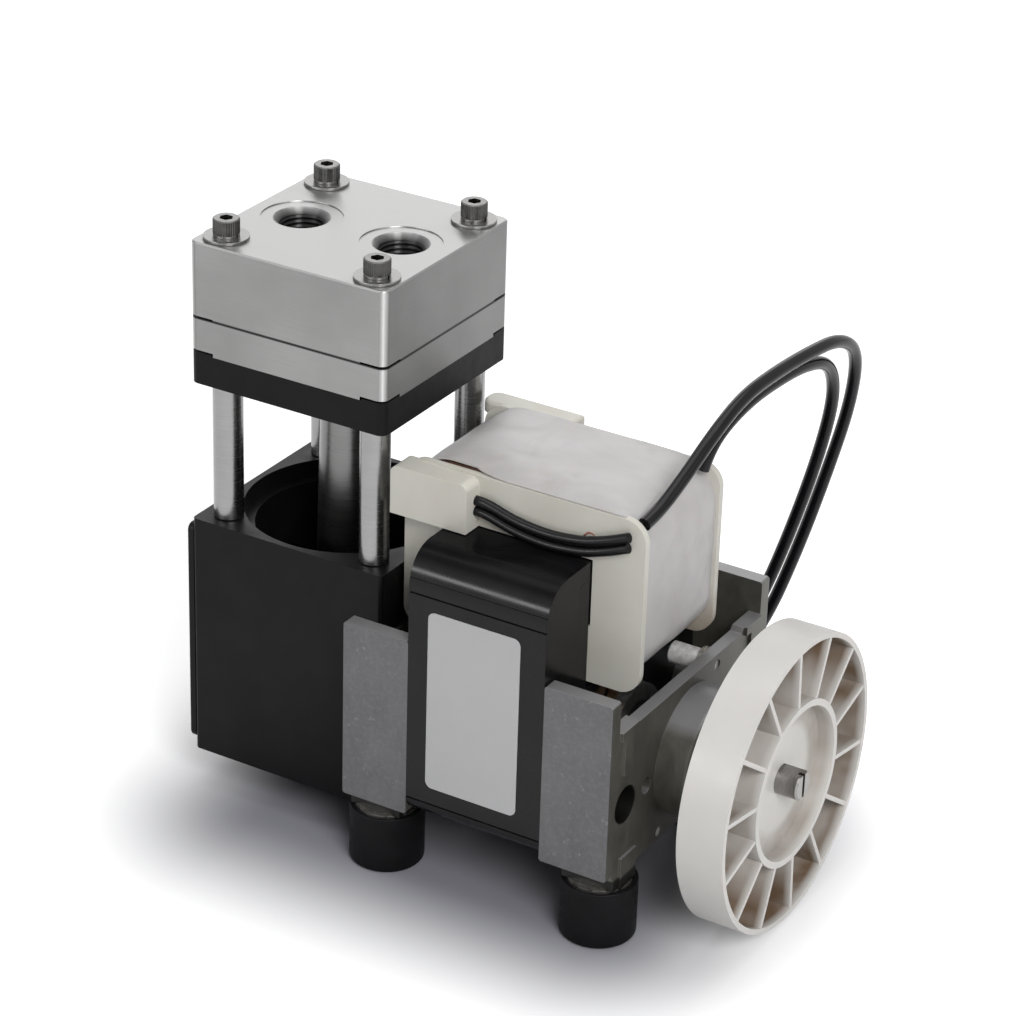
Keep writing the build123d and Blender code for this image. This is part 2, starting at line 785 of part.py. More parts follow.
def bearing_outer_rings():
    x0 = web_inner_x + touch_gap
    return both_ends(ring_between(bearing_dia, bearing_split_dia + ring_gap, x0, x0 + bearing_width, shaft_z))


def bearing_inner_rings():
    x0 = web_inner_x + touch_gap
    return both_ends(ring_between(bearing_split_dia - ring_gap, shaft_dia, x0, x0 + bearing_width, shaft_z))


def bearing_retainers():
    reach = math.hypot(retainer_screw_y, retainer_screw_z)
    tilt = math.degrees(math.atan2(retainer_screw_z, retainer_screw_y))
    shape = Circle(retainer_width / 2) + Rot(0, 0, tilt) * SlotOverall(2 * reach + retainer_ear, retainer_ear)
    shape -= Circle(bearing_dia / 2 - 2.0)
    for i in (-1, 1):
        shape -= Pos(i * retainer_screw_y, i * retainer_screw_z) * Circle(1.5)
    x0 = web_inner_x - retainer_thickness
    return both_ends(extrude(side_plane(x0) * Pos(0, shaft_z) * shape, retainer_thickness))


def retainer_screws():
    screws = []
    x1 = web_inner_x - retainer_thickness
    for i in (-1, 1):
        place = (i * retainer_screw_y, shaft_z + i * retainer_screw_z)
        head = rod_x(retainer_post_dia, x1 - retainer_post_length, x1, *place)
        head = chamfer(head.edges().sort_by(Axis.X)[0], 0.5)
        screws += both_ends(head + rod_x(3.0, x1, web_x - 0.5, *place))
    return screws


def through_bolts():
    bolts = []
    seat = stack_x + bolt_seat
    for i in (-1, 1):
        head = rod_x(bolt_head_dia, seat, seat + bolt_head_length, i * bolt_y)
        head = chamfer(head.edges().sort_by(Axis.X)[-1], 0.5)
        bolts.append(head + rod_x(bolt_dia, -seat - bolt_head_length - 1.5, seat, i * bolt_y))
    return bolts


def through_bolt_nuts():
    seat = stack_x + bolt_seat
    nuts = []
    for i in (-1, 1):
        shape = RegularPolygon(bolt_head_dia / math.sqrt(3), 6) - Circle(bolt_dia / 2)
        plane = side_plane(-seat - bolt_head_length)
        nuts.append(extrude(plane * Pos(i * bolt_y, shaft_z) * shape, bolt_head_length))
    return nuts


# ---------------------------------------------------------------- coil

def flat_y(y):
    """Sketch plane facing -Y: its x is the row's X, and its y is the row's Z."""
    return Plane((0, y, 0), x_dir=(1, 0, 0), z_dir=(0, -1, 0))


def bobbin():
    mid = (flange_top + flange_bottom) / 2
    flange = Pos(0, mid) * RectangleRounded(flange_width, flange_height, flange_corner)
    core_hole = Pos(0, core_mid) * Rectangle(stack_length + 2 * loose_gap, core_height + 2 * loose_gap)
    tube_side = stack_length + 2 * loose_gap + 2 * tube_wall
    tube_rise = core_height + 2 * loose_gap + 2 * tube_wall
    tube = Pos(0, core_mid) * RectangleRounded(tube_side, tube_rise, 1.0)
    body = extrude(flat_y(flange_y) * tube, 2 * flange_y)
    body += extrude(flat_y(-flange_y + flange_thickness) * flange, flange_thickness)
    body += extrude(flat_y(flange_y) * flange, flange_thickness)
    body += fuse_block() + lip_block()
    return body - extrude(flat_y(flange_y) * core_hole, 2 * flange_y)


def fuse_block():
    """Closed pocket for the thermal fuse, on the front flange above the iron."""
    x0, x1 = fuse_block_x, fuse_block_x + fuse_block_length
    low = stack_top + loose_gap
    pocket = block(x0, x1, -flange_y - fuse_block_depth, -flange_y + 1, low, flange_top - 0.4)
    pocket = fillet(pocket.edges().filter_by(Axis.Y).group_by(Axis.Z)[-1], 2.2)
    for z in sleeve_mouths():
        pocket -= rod_x(sleeve_dia + 2 * fit_gap, x1 - sleeve_depth - touch_gap, x1, sleeve_y, z)
    return pocket


def sleeve_mouths():
    """Heights at which the two sleeves leave the fuse pocket."""
    low = stack_top + loose_gap + sleeve_dia / 2 + sleeve_sag
    return low, low + sleeve_dia + sleeve_spacing


def lip_block():
    """Wire clip on the far flange: a lip over an open slot."""
    x0 = -flange_width / 2 - lip_overhang
    x1 = x0 + lip_block_length
    top = flange_top - lip_drop
    y1 = flange_y + fuse_block_depth
    slot_top = top - lip_thickness
    bar = block(x0, x1, flange_y - 1, y1, slot_top, top)
    bar = fillet(bar.edges().filter_by(Axis.Z).group_by(Axis.X)[0], lip_round)
    bar = fillet(bar.edges().filter_by(Axis.Y).group_by(Axis.Z)[-1], 1.0)
    base = block(-flange_width / 2 + flange_corner, x1, flange_y - 1, y1, top - lip_block_height, slot_top)
    return bar + base - block(x0, x1, flange_y, y1, slot_top - lip_slot, slot_top)


def coil_outline(grow):
    side = 2 * (grow - wrap_thickness)
    return Pos(0, core_mid) * RectangleRounded(coil_width + side, coil_height + side, coil_corner + grow)


def coil_winding():
    tube_side = stack_length + 2 * loose_gap + 2 * tube_wall
    tube_rise = core_height + 2 * loose_gap + 2 * tube_wall
    hole = Pos(0, core_mid) * Rectangle(tube_side + 2 * fit_gap, tube_rise + 2 * fit_gap)
    half = flange_y - flange_thickness - fit_gap
    return extrude(flat_y(half) * (coil_outline(0.0) - hole), 2 * half)


def coil_wrap():
    half = flange_y - flange_thickness - fit_gap
    return extrude(flat_y(half) * (coil_outline(wrap_thickness) - coil_outline(0.0)), 2 * half)


def tube_along(points, dia, limp=0.45):
    """Round tube on straight runs joined by tangent arcs; also gives the arcs' radii."""
    vectors = [Vector(*p) for p in points]
    radii = []
    for a, b, c in zip(vectors, vectors[1:], vectors[2:]):
        turn = (b - a).get_angle(c - b)
        radii.append(limp * min((b - a).length, (c - b).length) / math.tan(math.radians(turn / 2)))
    path = FilletPolyline(*points, radius=radii)
    start = Plane(path @ 0, z_dir=path % 0)
    tube = sweep(start * Circle(dia / 2), path=path)
    return tube, path, radii


def fuse_sleeve():
    """Two sleeved wires that leave the fuse pocket and lie in a sag along the flange."""
    x0 = fuse_block_x + fuse_block_length
    x1 = flange_width / 2 - sleeve_end_inset
    rows = []
    for z in sleeve_mouths():
        low = z - sleeve_sag
        points = [(x0 - sleeve_depth, sleeve_y, z)]
        points += [(x0 + along, sleeve_y, low + rise) for along, rise in sleeve_steps]
        points += [(x1, sleeve_y, low + sleeve_end_rise)]
        rows.append(tube_along(points, sleeve_dia)[0])
    return rows


# ---------------------------------------------------------------- fan, feet, label

def fan():
    """One moulding: rim, floor, hub ring, recessed hub disc, sleeve and radial ribs."""
    rim_inner = fan_dia - 2 * fan_wall
    ring_inner = hub_ring_dia - 2 * hub_ring_wall
    floor_x = fan_back + 0.5
    body = ring_between(fan_dia, rim_inner, fan_back, fan_front, shaft_z)
    body += ring_between(fan_dia - fan_wall, ring_inner, floor_x, floor_x + fan_floor, shaft_z)
    body += ring_between(hub_ring_dia, ring_inner, floor_x, fan_front, shaft_z)
    body += rod_x(hub_ring_dia - hub_ring_wall, hub_face - fan_floor, hub_face)
    body += rod_x(hub_sleeve_dia, fan_back - hub_sleeve_reach, hub_face)
    r0, r1 = hub_ring_dia / 2 - hub_ring_wall / 2, fan_dia / 2 - fan_wall / 2
    for k in range(fan_ribs):
        angle = fan_rib_phase + 360.0 * k / fan_ribs
        rib = Rot(0, 0, angle) * Pos((r0 + r1) / 2, 0) * Rectangle(r1 - r0, fan_rib)
        body += extrude(side_plane(floor_x) * Pos(0, shaft_z) * rib, fan_front - 0.3 - floor_x)
    return body - rod_x(shaft_dia, fan_back - hub_sleeve_reach, hub_face)


def feet():
    solids = []
    for x, y in foot_places():
        foot = rod_z(foot_dia, 0, foot_height - foot_rim_gap, x, y)
        foot = fillet(foot.edges().sort_by(Axis.Z)[0], 1.5)
        foot -= rod_z(foot_plate_dia + 2 * fit_gap, foot_height - foot_plate_thickness, foot_height, x, y)
        foot -= rod_z(foot_insert_dia, 0, foot_thread_depth + foot_insert_floor, x, y)
        solids.append(foot)
    return solids


def foot_studs():
    """Steel plate bonded in the top of each foot, with the stud that screws into the bracket."""
    low = foot_height - foot_plate_thickness
    return [
        rod_z(foot_plate_dia, low, foot_height, x, y)
        + rod_z(foot_stud_dia, foot_height, foot_height + pad_height - 1.0, x, y)
        for x, y in foot_places()
    ]


def foot_inserts():
    top = foot_thread_depth + foot_insert_floor
    return [
        rod_z(foot_insert_dia, 0.0, top, x, y) - rod_z(foot_thread_dia, 0.0, foot_thread_depth, x, y)
        for x, y in foot_places()
    ]


def label_plate():
    mid_x = -0.6
    mid_z = shaft_z + label_above_shaft
    shape = Pos(mid_x, mid_z) * RectangleRounded(label_width, label_height, label_corner)
    return extrude(flat_y(-stack_y) * shape, label_thickness)


# ---------------------------------------------------------------- leads

lead_a_points = [
    (32.7, -17.2, 111.1), (33.6, -11.5, 112.6), (35.0, -1.5, 118.4), (36.3, 11.0, 126.0), (37.0, 24.0, 130.8),
    (38.2, 38.0, 132.2), (39.8, 54.0, 132.4), (41.2, 70.0, 131.2), (40.8, 83.0, 123.0), (36.6, 90.5, 104.0),
    (30.0, 93.0, 80.0), (23.0, 92.5, 54.0), (15.5, 90.0, 29.5), (5.0, 87.0, 10.5), (-10.0, 84.0, 3.0),
    (-27.0, 80.0, 2.2), (-45.0, 78.0, 2.2), (-62.0, 79.5, 2.2), (-77.0, 84.0, 2.2),
]
lead_b_points = [
    (31.2, 15.2, 112.4), (31.9, 16.8, 117.3), (33.4, 21.5, 122.6), (34.8, 31.5, 126.2), (35.7, 44.0, 127.0),
    (37.0, 58.5, 126.8), (37.8, 72.0, 123.0), (35.8, 81.5, 110.0), (31.0, 85.5, 90.0), (24.5, 86.0, 66.0),
    (17.5, 84.5, 42.5), (9.5, 81.5, 21.5), (-1.5, 77.5, 7.5), (-16.0, 73.5, 2.5), (-32.0, 70.5, 2.2),
    (-49.0, 68.5, 2.2), (-65.0, 70.0, 2.2), (-81.0, 72.0, 2.2),
]


def lead(name, points):
    tube, path, radii = tube_along(points, lead_dia)
    print(name, "length %.1f" % path.length, "radii", ["%.0f" % r for r in radii],
          "volume ratio %.4f" % (tube.volume / (path.length * math.pi * lead_dia ** 2 / 4)))
    return tube


def lead_a():
    return lead("lead_a", lead_a_points)


def lead_b():
    return lead("lead_b", lead_b_points)


pieces = [
    head_cover, plenum_seals, valve_plate, inlet_valve_disc, outlet_valve_disc, inlet_valve_pin, outlet_valve_pin,
    diaphragm, diaphragm_clamp_disc, diaphragm_screw, clamp_ring, head_screws, head_lock_washers, head_washers,
    standoff_posts, crankcase, crankcase_cover, cover_screws, crankcase_screws, connecting_rod,
    rod_bearing_outer, rod_bearing_inner, eccentric, eccentric_screw, crank_washer, crank_screw, motor_shaft,
    rotor_core, rotor_end_rings, stator_frame, core_bar, shading_rings, bobbin, coil_winding, coil_wrap,
    fuse_sleeve, pump_side_bracket, fan_side_bracket, bearing_outer_rings, bearing_inner_rings,
    bearing_retainers, retainer_screws, through_bolts, through_bolt_nuts, label_plate, fan, feet, foot_studs,
    foot_inserts, lead_a, lead_b,
]

os.makedirs("parts", exist_ok=True)
for make in pieces:
    shape = make()
    solids = shape if isinstance(shape, list) else [shape]
    export_step(Compound(children=[s for one in solids for s in one.solids()]), "parts/%s.step" % make.__name__)
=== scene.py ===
import json
import math
from contextlib import contextmanager

import bmesh
import bpy
from mathutils import Matrix, Vector


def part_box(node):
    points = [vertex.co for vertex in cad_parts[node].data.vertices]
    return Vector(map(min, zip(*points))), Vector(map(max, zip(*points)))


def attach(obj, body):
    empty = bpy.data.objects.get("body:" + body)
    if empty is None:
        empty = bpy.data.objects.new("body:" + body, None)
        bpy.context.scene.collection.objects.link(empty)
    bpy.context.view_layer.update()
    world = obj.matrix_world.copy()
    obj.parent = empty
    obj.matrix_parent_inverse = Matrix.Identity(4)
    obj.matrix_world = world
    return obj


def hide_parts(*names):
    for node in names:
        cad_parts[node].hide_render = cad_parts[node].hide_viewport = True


bl_info = {
    "name": "Diaphragm vacuum pump",
    "version": (1, 0, 0),
    "blender": (4, 5, 0),
    "location": "View3D > Sidebar > Pump",
    "description": "Dresses a diaphragm vacuum pump: tape, leads, threads, softened edges and finishes",
    "category": "Add Mesh",
}

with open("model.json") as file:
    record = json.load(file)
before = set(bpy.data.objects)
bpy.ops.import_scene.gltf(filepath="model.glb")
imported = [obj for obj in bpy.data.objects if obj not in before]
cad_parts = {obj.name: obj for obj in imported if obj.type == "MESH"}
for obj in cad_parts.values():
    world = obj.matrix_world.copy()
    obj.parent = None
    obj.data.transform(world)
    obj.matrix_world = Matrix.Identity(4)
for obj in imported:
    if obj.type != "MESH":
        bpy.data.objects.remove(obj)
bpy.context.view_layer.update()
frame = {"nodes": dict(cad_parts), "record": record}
record = frame["record"]
body_of = {node: body for body, nodes in record["behaviour"]["bodies"].items() for node in nodes}
ports = [mount for mount in record["mounts"] if mount["kind"] == "threaded_hole"]
MM = 0.001
CAP_HEIGHT = 4.0 * MM
SOCKET_DEPTH = 2.2 * MM
SOCKET_HALF_WIDTH = 1.6 * MM
SCREW_RADIUS = 2.0 * MM
KNURLS = 36
LOCK_WASHER_BORE_RADIUS = 2.15 * MM
PORT_MOUTH_RADIUS = 7.5 * MM
BOLT_HEAD_RADIUS = 3.5 * MM
BOLT_POCKET_RADIUS = 5.0 * MM
TIP_LENGTH = 6.0 * MM
FOOTPRINT_MIDDLE = (-0.018, 0.0, 0.0)
FOOTPRINT_HALF = (0.051, 0.033, 0.0)
# painted shadow: the floor's colour under the pump, much darker than further out
PAINTED_SHADOW_UNDER_PUMP = (0.285, 0.285, 0.32)
FLOOR_FURTHER_OUT = (0.84, 0.84, 0.845)
SHADE_REACH = 0.055
GLOW_REACH = 0.075
AMBIENT = 0.22
LAMP_AIM = Vector((0, 0, 0.08))
FILM_WIDTH = 36
VIEW_TURN_LIFT_ROLL = (0.529817, 0.468759, 0.0313014)
VIEW_PLACE = (0.39133, -0.69416, 0.50208)


# ------------------------------------------------------------------ handling objects

def deselect_all():
    if bpy.context.object and bpy.context.object.mode != "OBJECT":
        bpy.ops.object.mode_set(mode="OBJECT")
    bpy.ops.object.select_all(action="DESELECT")


def activate(piece):
    """Select one object alone and make it active."""
    deselect_all()
    piece.select_set(True)
    bpy.context.view_layer.objects.active = piece
    return piece


def named(name):
    """Give the object just added its name."""
    piece = bpy.context.object
    piece.name = name
    piece.data.name = name
    return piece


def settle(piece):
    """Put the object's place into its mesh, so that the object itself sits at the origin."""
    activate(piece)
    bpy.ops.object.transform_apply(location=True, rotation=True, scale=True)
    return piece


def modify(piece, kind, **values):
    """Add a modifier, set it up and apply it."""
    activate(piece)
    modifier = piece.modifiers.new(kind.title(), kind)
    for key, value in values.items():
        setattr(modifier, key, value)
    bpy.ops.object.modifier_apply(modifier=modifier.name)
    return piece


def smooth(piece, degrees=35):
    activate(piece)
    bpy.ops.object.shade_smooth_by_angle(angle=math.radians(degrees))
    return piece


def open_all(piece):
    """Open a piece in edit mode with everything selected."""
    activate(piece)
    bpy.ops.object.mode_set(mode="EDIT")
    bpy.ops.mesh.select_all(action="SELECT")


def done_editing():
    bpy.ops.object.mode_set(mode="OBJECT")


def outward(piece):
    """Merge doubles and turn all faces outwards."""
    open_all(piece)
    bpy.ops.mesh.remove_doubles(threshold=1e-6)
    bpy.ops.mesh.normals_make_consistent(inside=False)
    done_editing()
    return piece


def closed(piece, sides):
    """Fill the holes that have up to a number of sides, and turn all faces outwards."""
    open_all(piece)
    bpy.ops.mesh.fill_holes(sides=sides)
    done_editing()
    return outward(piece)


@contextmanager
def mesh_of(piece):
    """The piece's mesh, open for moving its points, and written back afterwards."""
    mesh = bmesh.new()
    mesh.from_mesh(piece.data)
    yield mesh
    mesh.to_mesh(piece.data)
    mesh.free()


def turn_of(point):
    """Angle of a point about the upright axis."""
    return math.atan2(point.y, point.x)


def pick(piece, test, kind="FACE"):
    """In edit mode, select the faces or edges that pass a test."""
    activate(piece)
    bpy.ops.object.mode_set(mode="EDIT")
    bpy.ops.mesh.select_mode(type=kind)
    bpy.ops.mesh.select_all(action="DESELECT")
    mesh = bmesh.from_edit_mesh(piece.data)
    for item in (mesh.faces if kind == "FACE" else mesh.edges):
        item.select_set(bool(test(item)))
    mesh.select_flush_mode()
    bmesh.update_edit_mesh(piece.data)


def wear(piece, material):
    """Give a piece one material all over."""
    piece.data.materials.clear()
    piece.data.materials.append(material)
    if piece.type == "MESH":
        for face in piece.data.polygons:
            face.material_index = 0


def stands_for(piece, node, material):
    """The piece takes a CAD node's place, body and finish."""
    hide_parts(node)
    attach(piece, body_of[node])
    wear(piece, material)
    return piece


def added_to(piece, body, material):
    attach(piece, body)
    wear(piece, material)
    return piece


def finish_nodes(material, *nodes):
    """Put a finish on CAD nodes that are shown as they are."""
    for node in nodes:
        wear(frame["nodes"][node], material)


def softened(node, material, width, segments=2):
    """A merged copy of a CAD node with its sharp edges rounded as a casting's or moulding's are."""
    piece = bpy.data.objects.new(node + "_softened", frame["nodes"][node].data.copy())
    bpy.context.collection.objects.link(piece)
    open_all(piece)
    bpy.ops.mesh.remove_doubles(threshold=2e-6)
    bpy.ops.mesh.dissolve_limited(angle_limit=math.radians(0.6))
    done_editing()
    modify(piece, "BEVEL", width=width, segments=segments, limit_method="ANGLE",
           angle_limit=math.radians(28), use_clamp_overlap=True, harden_normals=False)
    smooth(piece, 32)
    modify(piece, "WEIGHTED_NORMAL", keep_sharp=True, weight=90)
    return stands_for(piece, node, material)


# ------------------------------------------------------------------ finishes

class Nodes:
    """The node tree of a material or world, wired up step by step."""

    def __init__(self, owner):
        owner.use_nodes = True
        self.tree = owner.node_tree
        self.tree.nodes.clear()

    def add(self, kind, **values):
        node = self.tree.nodes.new("ShaderNode" + kind)
        for key, value in values.items():
            setattr(node, key, value)
        return node

    def join(self, start, end):
        self.tree.links.new(start, end)

    def glow(self, kind, colour, strength):
        """An emission or background of an even colour and strength."""
        node = self.add(kind)
        node.inputs["Color"].default_value = (*colour, 1)
        node.inputs["Strength"].default_value = strength
        return node

    def looked_at(self, unseen, seen):
        """One shader for the view, reflections and clear surfaces, and the other for all other rays."""
        path = self.add("LightPath")
        factor = path.outputs["Is Camera Ray"]
        for kind in ("Is Glossy Ray", "Is Transmission Ray"):
            most = self.add("Math", operation="MAXIMUM")
            self.join(factor, most.inputs[0])
            self.join(path.outputs[kind], most.inputs[1])
            factor = most.outputs[0]
        mix = self.add("MixShader")
        for start, end in zip((factor, unseen.outputs[0], seen.outputs[0]), mix.inputs):
            self.join(start, end)
        return mix


class Finish(Nodes):
    """A procedural finish, read on object coordinates in metres."""

    def __init__(self, name, colour, metallic=0.0, roughness=0.4, **constants):
        self.material = bpy.data.materials.new(name)
        super().__init__(self.material)
        output = self.add("OutputMaterial")
        self.shader = self.add("BsdfPrincipled")
        self.join(self.shader.outputs[0], output.inputs["Surface"])
        self.shader.inputs["Base Color"].default_value = (*colour, 1)
        self.shader.inputs["Metallic"].default_value = metallic
        self.shader.inputs["Roughness"].default_value = roughness
        for socket, value in constants.items():
            self.shader.inputs[socket.replace("_", " ")].default_value = value
        coordinates = self.add("TexCoord")
        self.place = coordinates.outputs["Object"]
        self.normal = coordinates.outputs["Normal"]
        self.turn = None

    def axis(self, vector, name):
        """One axis of the place or of the normal."""
        parts = self.add("SeparateXYZ")
        self.join(vector, parts.inputs[0])
        return parts.outputs[name]

    def from_line(self, centre, across, mirrored=False):
        """Distance from a line through a centre; across is 0 along the line's own axis, and 1 on the others."""
        start = self.place
        if mirrored:
            both = self.add("VectorMath", operation="ABSOLUTE")
            self.join(start, both.inputs[0])
            start = both.outputs[0]
        centred = self.add("Mapping")
        centred.inputs["Location"].default_value = [-c * a for c, a in zip(centre, across)]
        centred.inputs["Scale"].default_value = across
        self.join(start, centred.inputs["Vector"])
        length = self.add("VectorMath", operation="LENGTH")
        self.join(centred.outputs[0], length.inputs[0])
        return length.outputs["Value"]

    def stretched(self, stretch):
        mapping = self.add("Mapping")
        mapping.inputs["Scale"].default_value = stretch
        self.join(self.place, mapping.inputs["Vector"])
        return mapping.outputs[0]

    def noise(self, scale, detail=3.0, stretch=(1, 1, 1), rough=0.55, distortion=0.0):
        """Noise whose scale is in bumps per metre."""
        node = self.add("TexNoise")
        node.inputs["Scale"].default_value = scale
        node.inputs["Detail"].default_value = detail
        node.inputs["Roughness"].default_value = rough
        node.inputs["Distortion"].default_value = distortion
        self.join(self.stretched(stretch), node.inputs["Vector"])
        return node.outputs["Fac"]

    def cells(self, scale, stretch=(1, 1, 1)):
        node = self.add("TexVoronoi")
        node.inputs["Scale"].default_value = scale
        self.join(self.stretched(stretch), node.inputs["Vector"])
        return node.outputs["Distance"]

    def lines(self, pitch, axis, sharp=0.0):
        """Even lines across an axis, pitch metres apart."""
        node = self.add("TexWave", wave_type="BANDS", bands_direction=axis, wave_profile="SIN")
        node.inputs["Scale"].default_value = 0.31416 / pitch
        node.inputs["Distortion"].default_value = sharp
        self.join(self.place, node.inputs["Vector"])
        return node.outputs["Fac"]

    def levels(self, value, low, high, to_low=0.0, to_high=1.0):
        """A value's range from low to high, spread over another range."""
        node = self.add("MapRange")
        for socket, limit in (("From Min", low), ("From Max", high), ("To Min", to_low), ("To Max", to_high)):
            node.inputs[socket].default_value = limit
        self.join(value, node.inputs["Value"])
        return node.outputs["Result"]

    def times(self, a, b, operation="MULTIPLY"):
        node = self.add("Math", operation=operation)
        self.join(a, node.inputs[0])
        if isinstance(b, (int, float)):
            node.inputs[1].default_value = b
        else:
            self.join(b, node.inputs[1])
        return node.outputs[0]

    def facing_up(self):
        """1 where the surface faces up or down, 0 on its sides."""
        return self.levels(self.times(self.axis(self.normal, "Z"), 2.0, "POWER"), 0.4, 0.6)

    def stroked(self):
        """Lay the highlight across strokes that run level round the sides, and across the shaft on top."""
        turn = self.add("VectorMath", operation="CROSS_PRODUCT")
        self.join(self.normal, turn.inputs[0])
        turn.inputs[1].default_value = (0, 0, 1)
        along = self.add("VectorMath", operation="ADD")
        self.join(turn.outputs[0], along.inputs[0])
        along.inputs[1].default_value = (0, 0.01, 0)
        self.join(along.outputs[0], self.shader.inputs["Tangent"])

    def at_corner(self):
        """1 on the upright rounded corners, 0 on the flat faces."""
        both = self.times(self.axis(self.normal, "X"), self.axis(self.normal, "Y"))
        return self.levels(self.times(both, 0.0, "ABSOLUTE"), 0.2, 0.44)

    def near_seam(self, height, reach):
        """1 at a level seam, fading out within its reach above and below."""
        above = self.times(self.axis(self.place, "Z"), height, "SUBTRACT")
        return self.levels(self.times(above, 0.0, "ABSOLUTE"), reach * 0.4, reach, 1.0, 0.0)

    def in_ports(self):
        """1 down inside the threaded ports, 0 elsewhere."""
        near = None
        for port in ports:
            reach = self.from_line(port["pos_m"], (1, 1, 0))
            within = self.levels(reach, PORT_MOUTH_RADIUS - 0.1 * MM, PORT_MOUTH_RADIUS + 0.3 * MM, 1.0, 0.0)
            near = within if near is None else self.times(near, within, "MAXIMUM")
        top = ports[0]["pos_m"][2]
        depth = self.levels(self.axis(self.place, "Z"), top + 0.4 * MM, top + 2.1 * MM, 1.0, 0.25)
        return self.times(near, depth)

    def mixed(self, factor, a, b):
        node = self.add("Mix", data_type="FLOAT")
        for socket, value in ((0, factor), (2, a), (3, b)):
            self.join(value, node.inputs[socket])
        return node.outputs[0]

    def colours(self, factor, first, second):
        """Colour between two by a factor; each is a colour or the output of an earlier mix."""
        node = self.add("Mix", data_type="RGBA")
        self.join(factor, node.inputs[0])
        for socket, value in ((6, first), (7, second)):
            if isinstance(value, tuple):
                node.inputs[socket].default_value = (*value, 1)
            else:
                self.join(value, node.inputs[socket])
        self.join(node.outputs[2], self.shader.inputs["Base Color"])
        return node.outputs[2]

    def roughness(self, factor, low, high):
        self.join(self.levels(factor, 0.25, 0.75, low, high), self.shader.inputs["Roughness"])

    def bump(self, height, depth, strength=1.0):
        """Raise the surface by a height, depth metres at full scale."""
        node = self.add("Bump")
        node.inputs["Strength"].default_value = strength
        node.inputs["Distance"].default_value = depth
        self.join(height, node.inputs["Height"])
        if self.turn is not None:
            self.join(self.turn, node.inputs["Normal"])
        self.turn = node.outputs[0]
        self.join(self.turn, self.shader.inputs["Normal"])


def scaled(colour, factor):
    return tuple(channel * factor for channel in colour)


def brushed_alloy(name, colour):
    """Ground aluminium: strokes round the sides and along the shaft on top, a painted highlight on the top faces
    and upright corners, and painted shade at the seam and down inside the ports.
    """
    look = Finish(name, colour, metallic=1.0, roughness=0.34, Anisotropic=0.93, Anisotropic_Rotation=0.25)
    look.stroked()
    sides = look.noise(1.0, 4.0, (40, 40, 9000), 0.7)
    top = look.noise(1.0, 4.0, (50, 9000, 50), 0.7)
    stroke = look.mixed(look.facing_up(), sides, top)
    cloud = look.noise(34, 3.0)
    tone = look.colours(look.levels(stroke, 0.3, 0.7), scaled(colour, 0.92), scaled(colour, 1.08))
    tone = look.colours(look.levels(cloud, 0.35, 0.68, 0.0, 0.8), tone, scaled(colour, 0.8))
    # painted highlight: the top faces made paler
    tone = look.colours(look.facing_up(), tone, scaled(colour, 1.5))
    # painted highlight down the upright rounded corners
    tone = look.colours(look.at_corner(), tone, scaled(colour, 1.8))
    # painted shade in the seam between the head and the valve plate
    tone = look.colours(look.near_seam(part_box("valve_plate")[1][2], 0.0005), tone, scaled(colour, 0.1))
    # painted shade down inside the threaded ports
    look.colours(look.in_ports(), tone, scaled(colour, 0.14))
    look.roughness(stroke, 0.3, 0.38)
    look.bump(stroke, 0.000004, 0.35)
    return look.material


def anodised(name, colour, rough=0.34):
    """Black anodised alloy with faint milling marks and a dusting of pale specks."""
    look = Finish(name, colour, roughness=rough, Specular_IOR_Level=0.11)
    grain = look.noise(5200, 2.0)
    cloud = look.noise(90, 4.0)
    specks = look.levels(look.cells(420), 0.0, 0.045, 1.0, 0.0)
    tone = look.colours(look.levels(cloud, 0.35, 0.7), colour, scaled(colour, 1.6))
    look.colours(look.times(specks, 0.12), tone, (0.22, 0.22, 0.22))
    look.roughness(look.noise(260, 4.0), rough - 0.05, rough + 0.09)
    look.bump(grain, 0.000006, 0.3)
    return look.material


def turned_steel(name, colour, rough, axis="Z"):
    """Turned metal: fine rings round its own axis, with slow clouding."""
    look = Finish(name, colour, metallic=1.0, roughness=rough)
    stretch = {"X": (5000, 40, 40), "Z": (40, 40, 5000)}[axis]
    ring = look.noise(1.0, 3.0, stretch, 0.65)
    cloud = look.noise(110, 3.0)
    tone = look.colours(look.levels(ring, 0.3, 0.7), scaled(colour, 0.92), scaled(colour, 1.05))
    look.colours(look.levels(cloud, 0.4, 0.8, 0.0, 0.4), tone, scaled(colour, 0.75))
    look.roughness(ring, rough - 0.02, rough + 0.04)
    look.bump(ring, 0.000001, 0.15)
    return look.material


def plated(name, colour, rough, metallic=1.0, top_highlight=1.0):
    """Stamped or plated hardware, a little blotched, with a painted highlight on its top faces; the last
    argument is how much paler they are.
    """
    look = Finish(name, colour, metallic=metallic, roughness=rough)
    cloud = look.noise(700, 4.0)
    fine = look.noise(6000, 2.0)
    tone = look.colours(look.levels(cloud, 0.35, 0.7), scaled(colour, 0.8), scaled(colour, 1.12))
    # painted highlight: the top faces made paler
    if top_highlight > 1.0:
        look.colours(look.facing_up(), tone, scaled(colour, top_highlight))
    look.roughness(cloud, rough - 0.06, rough + 0.12)
    look.bump(fine, 0.000006, 0.3)
    return look.material


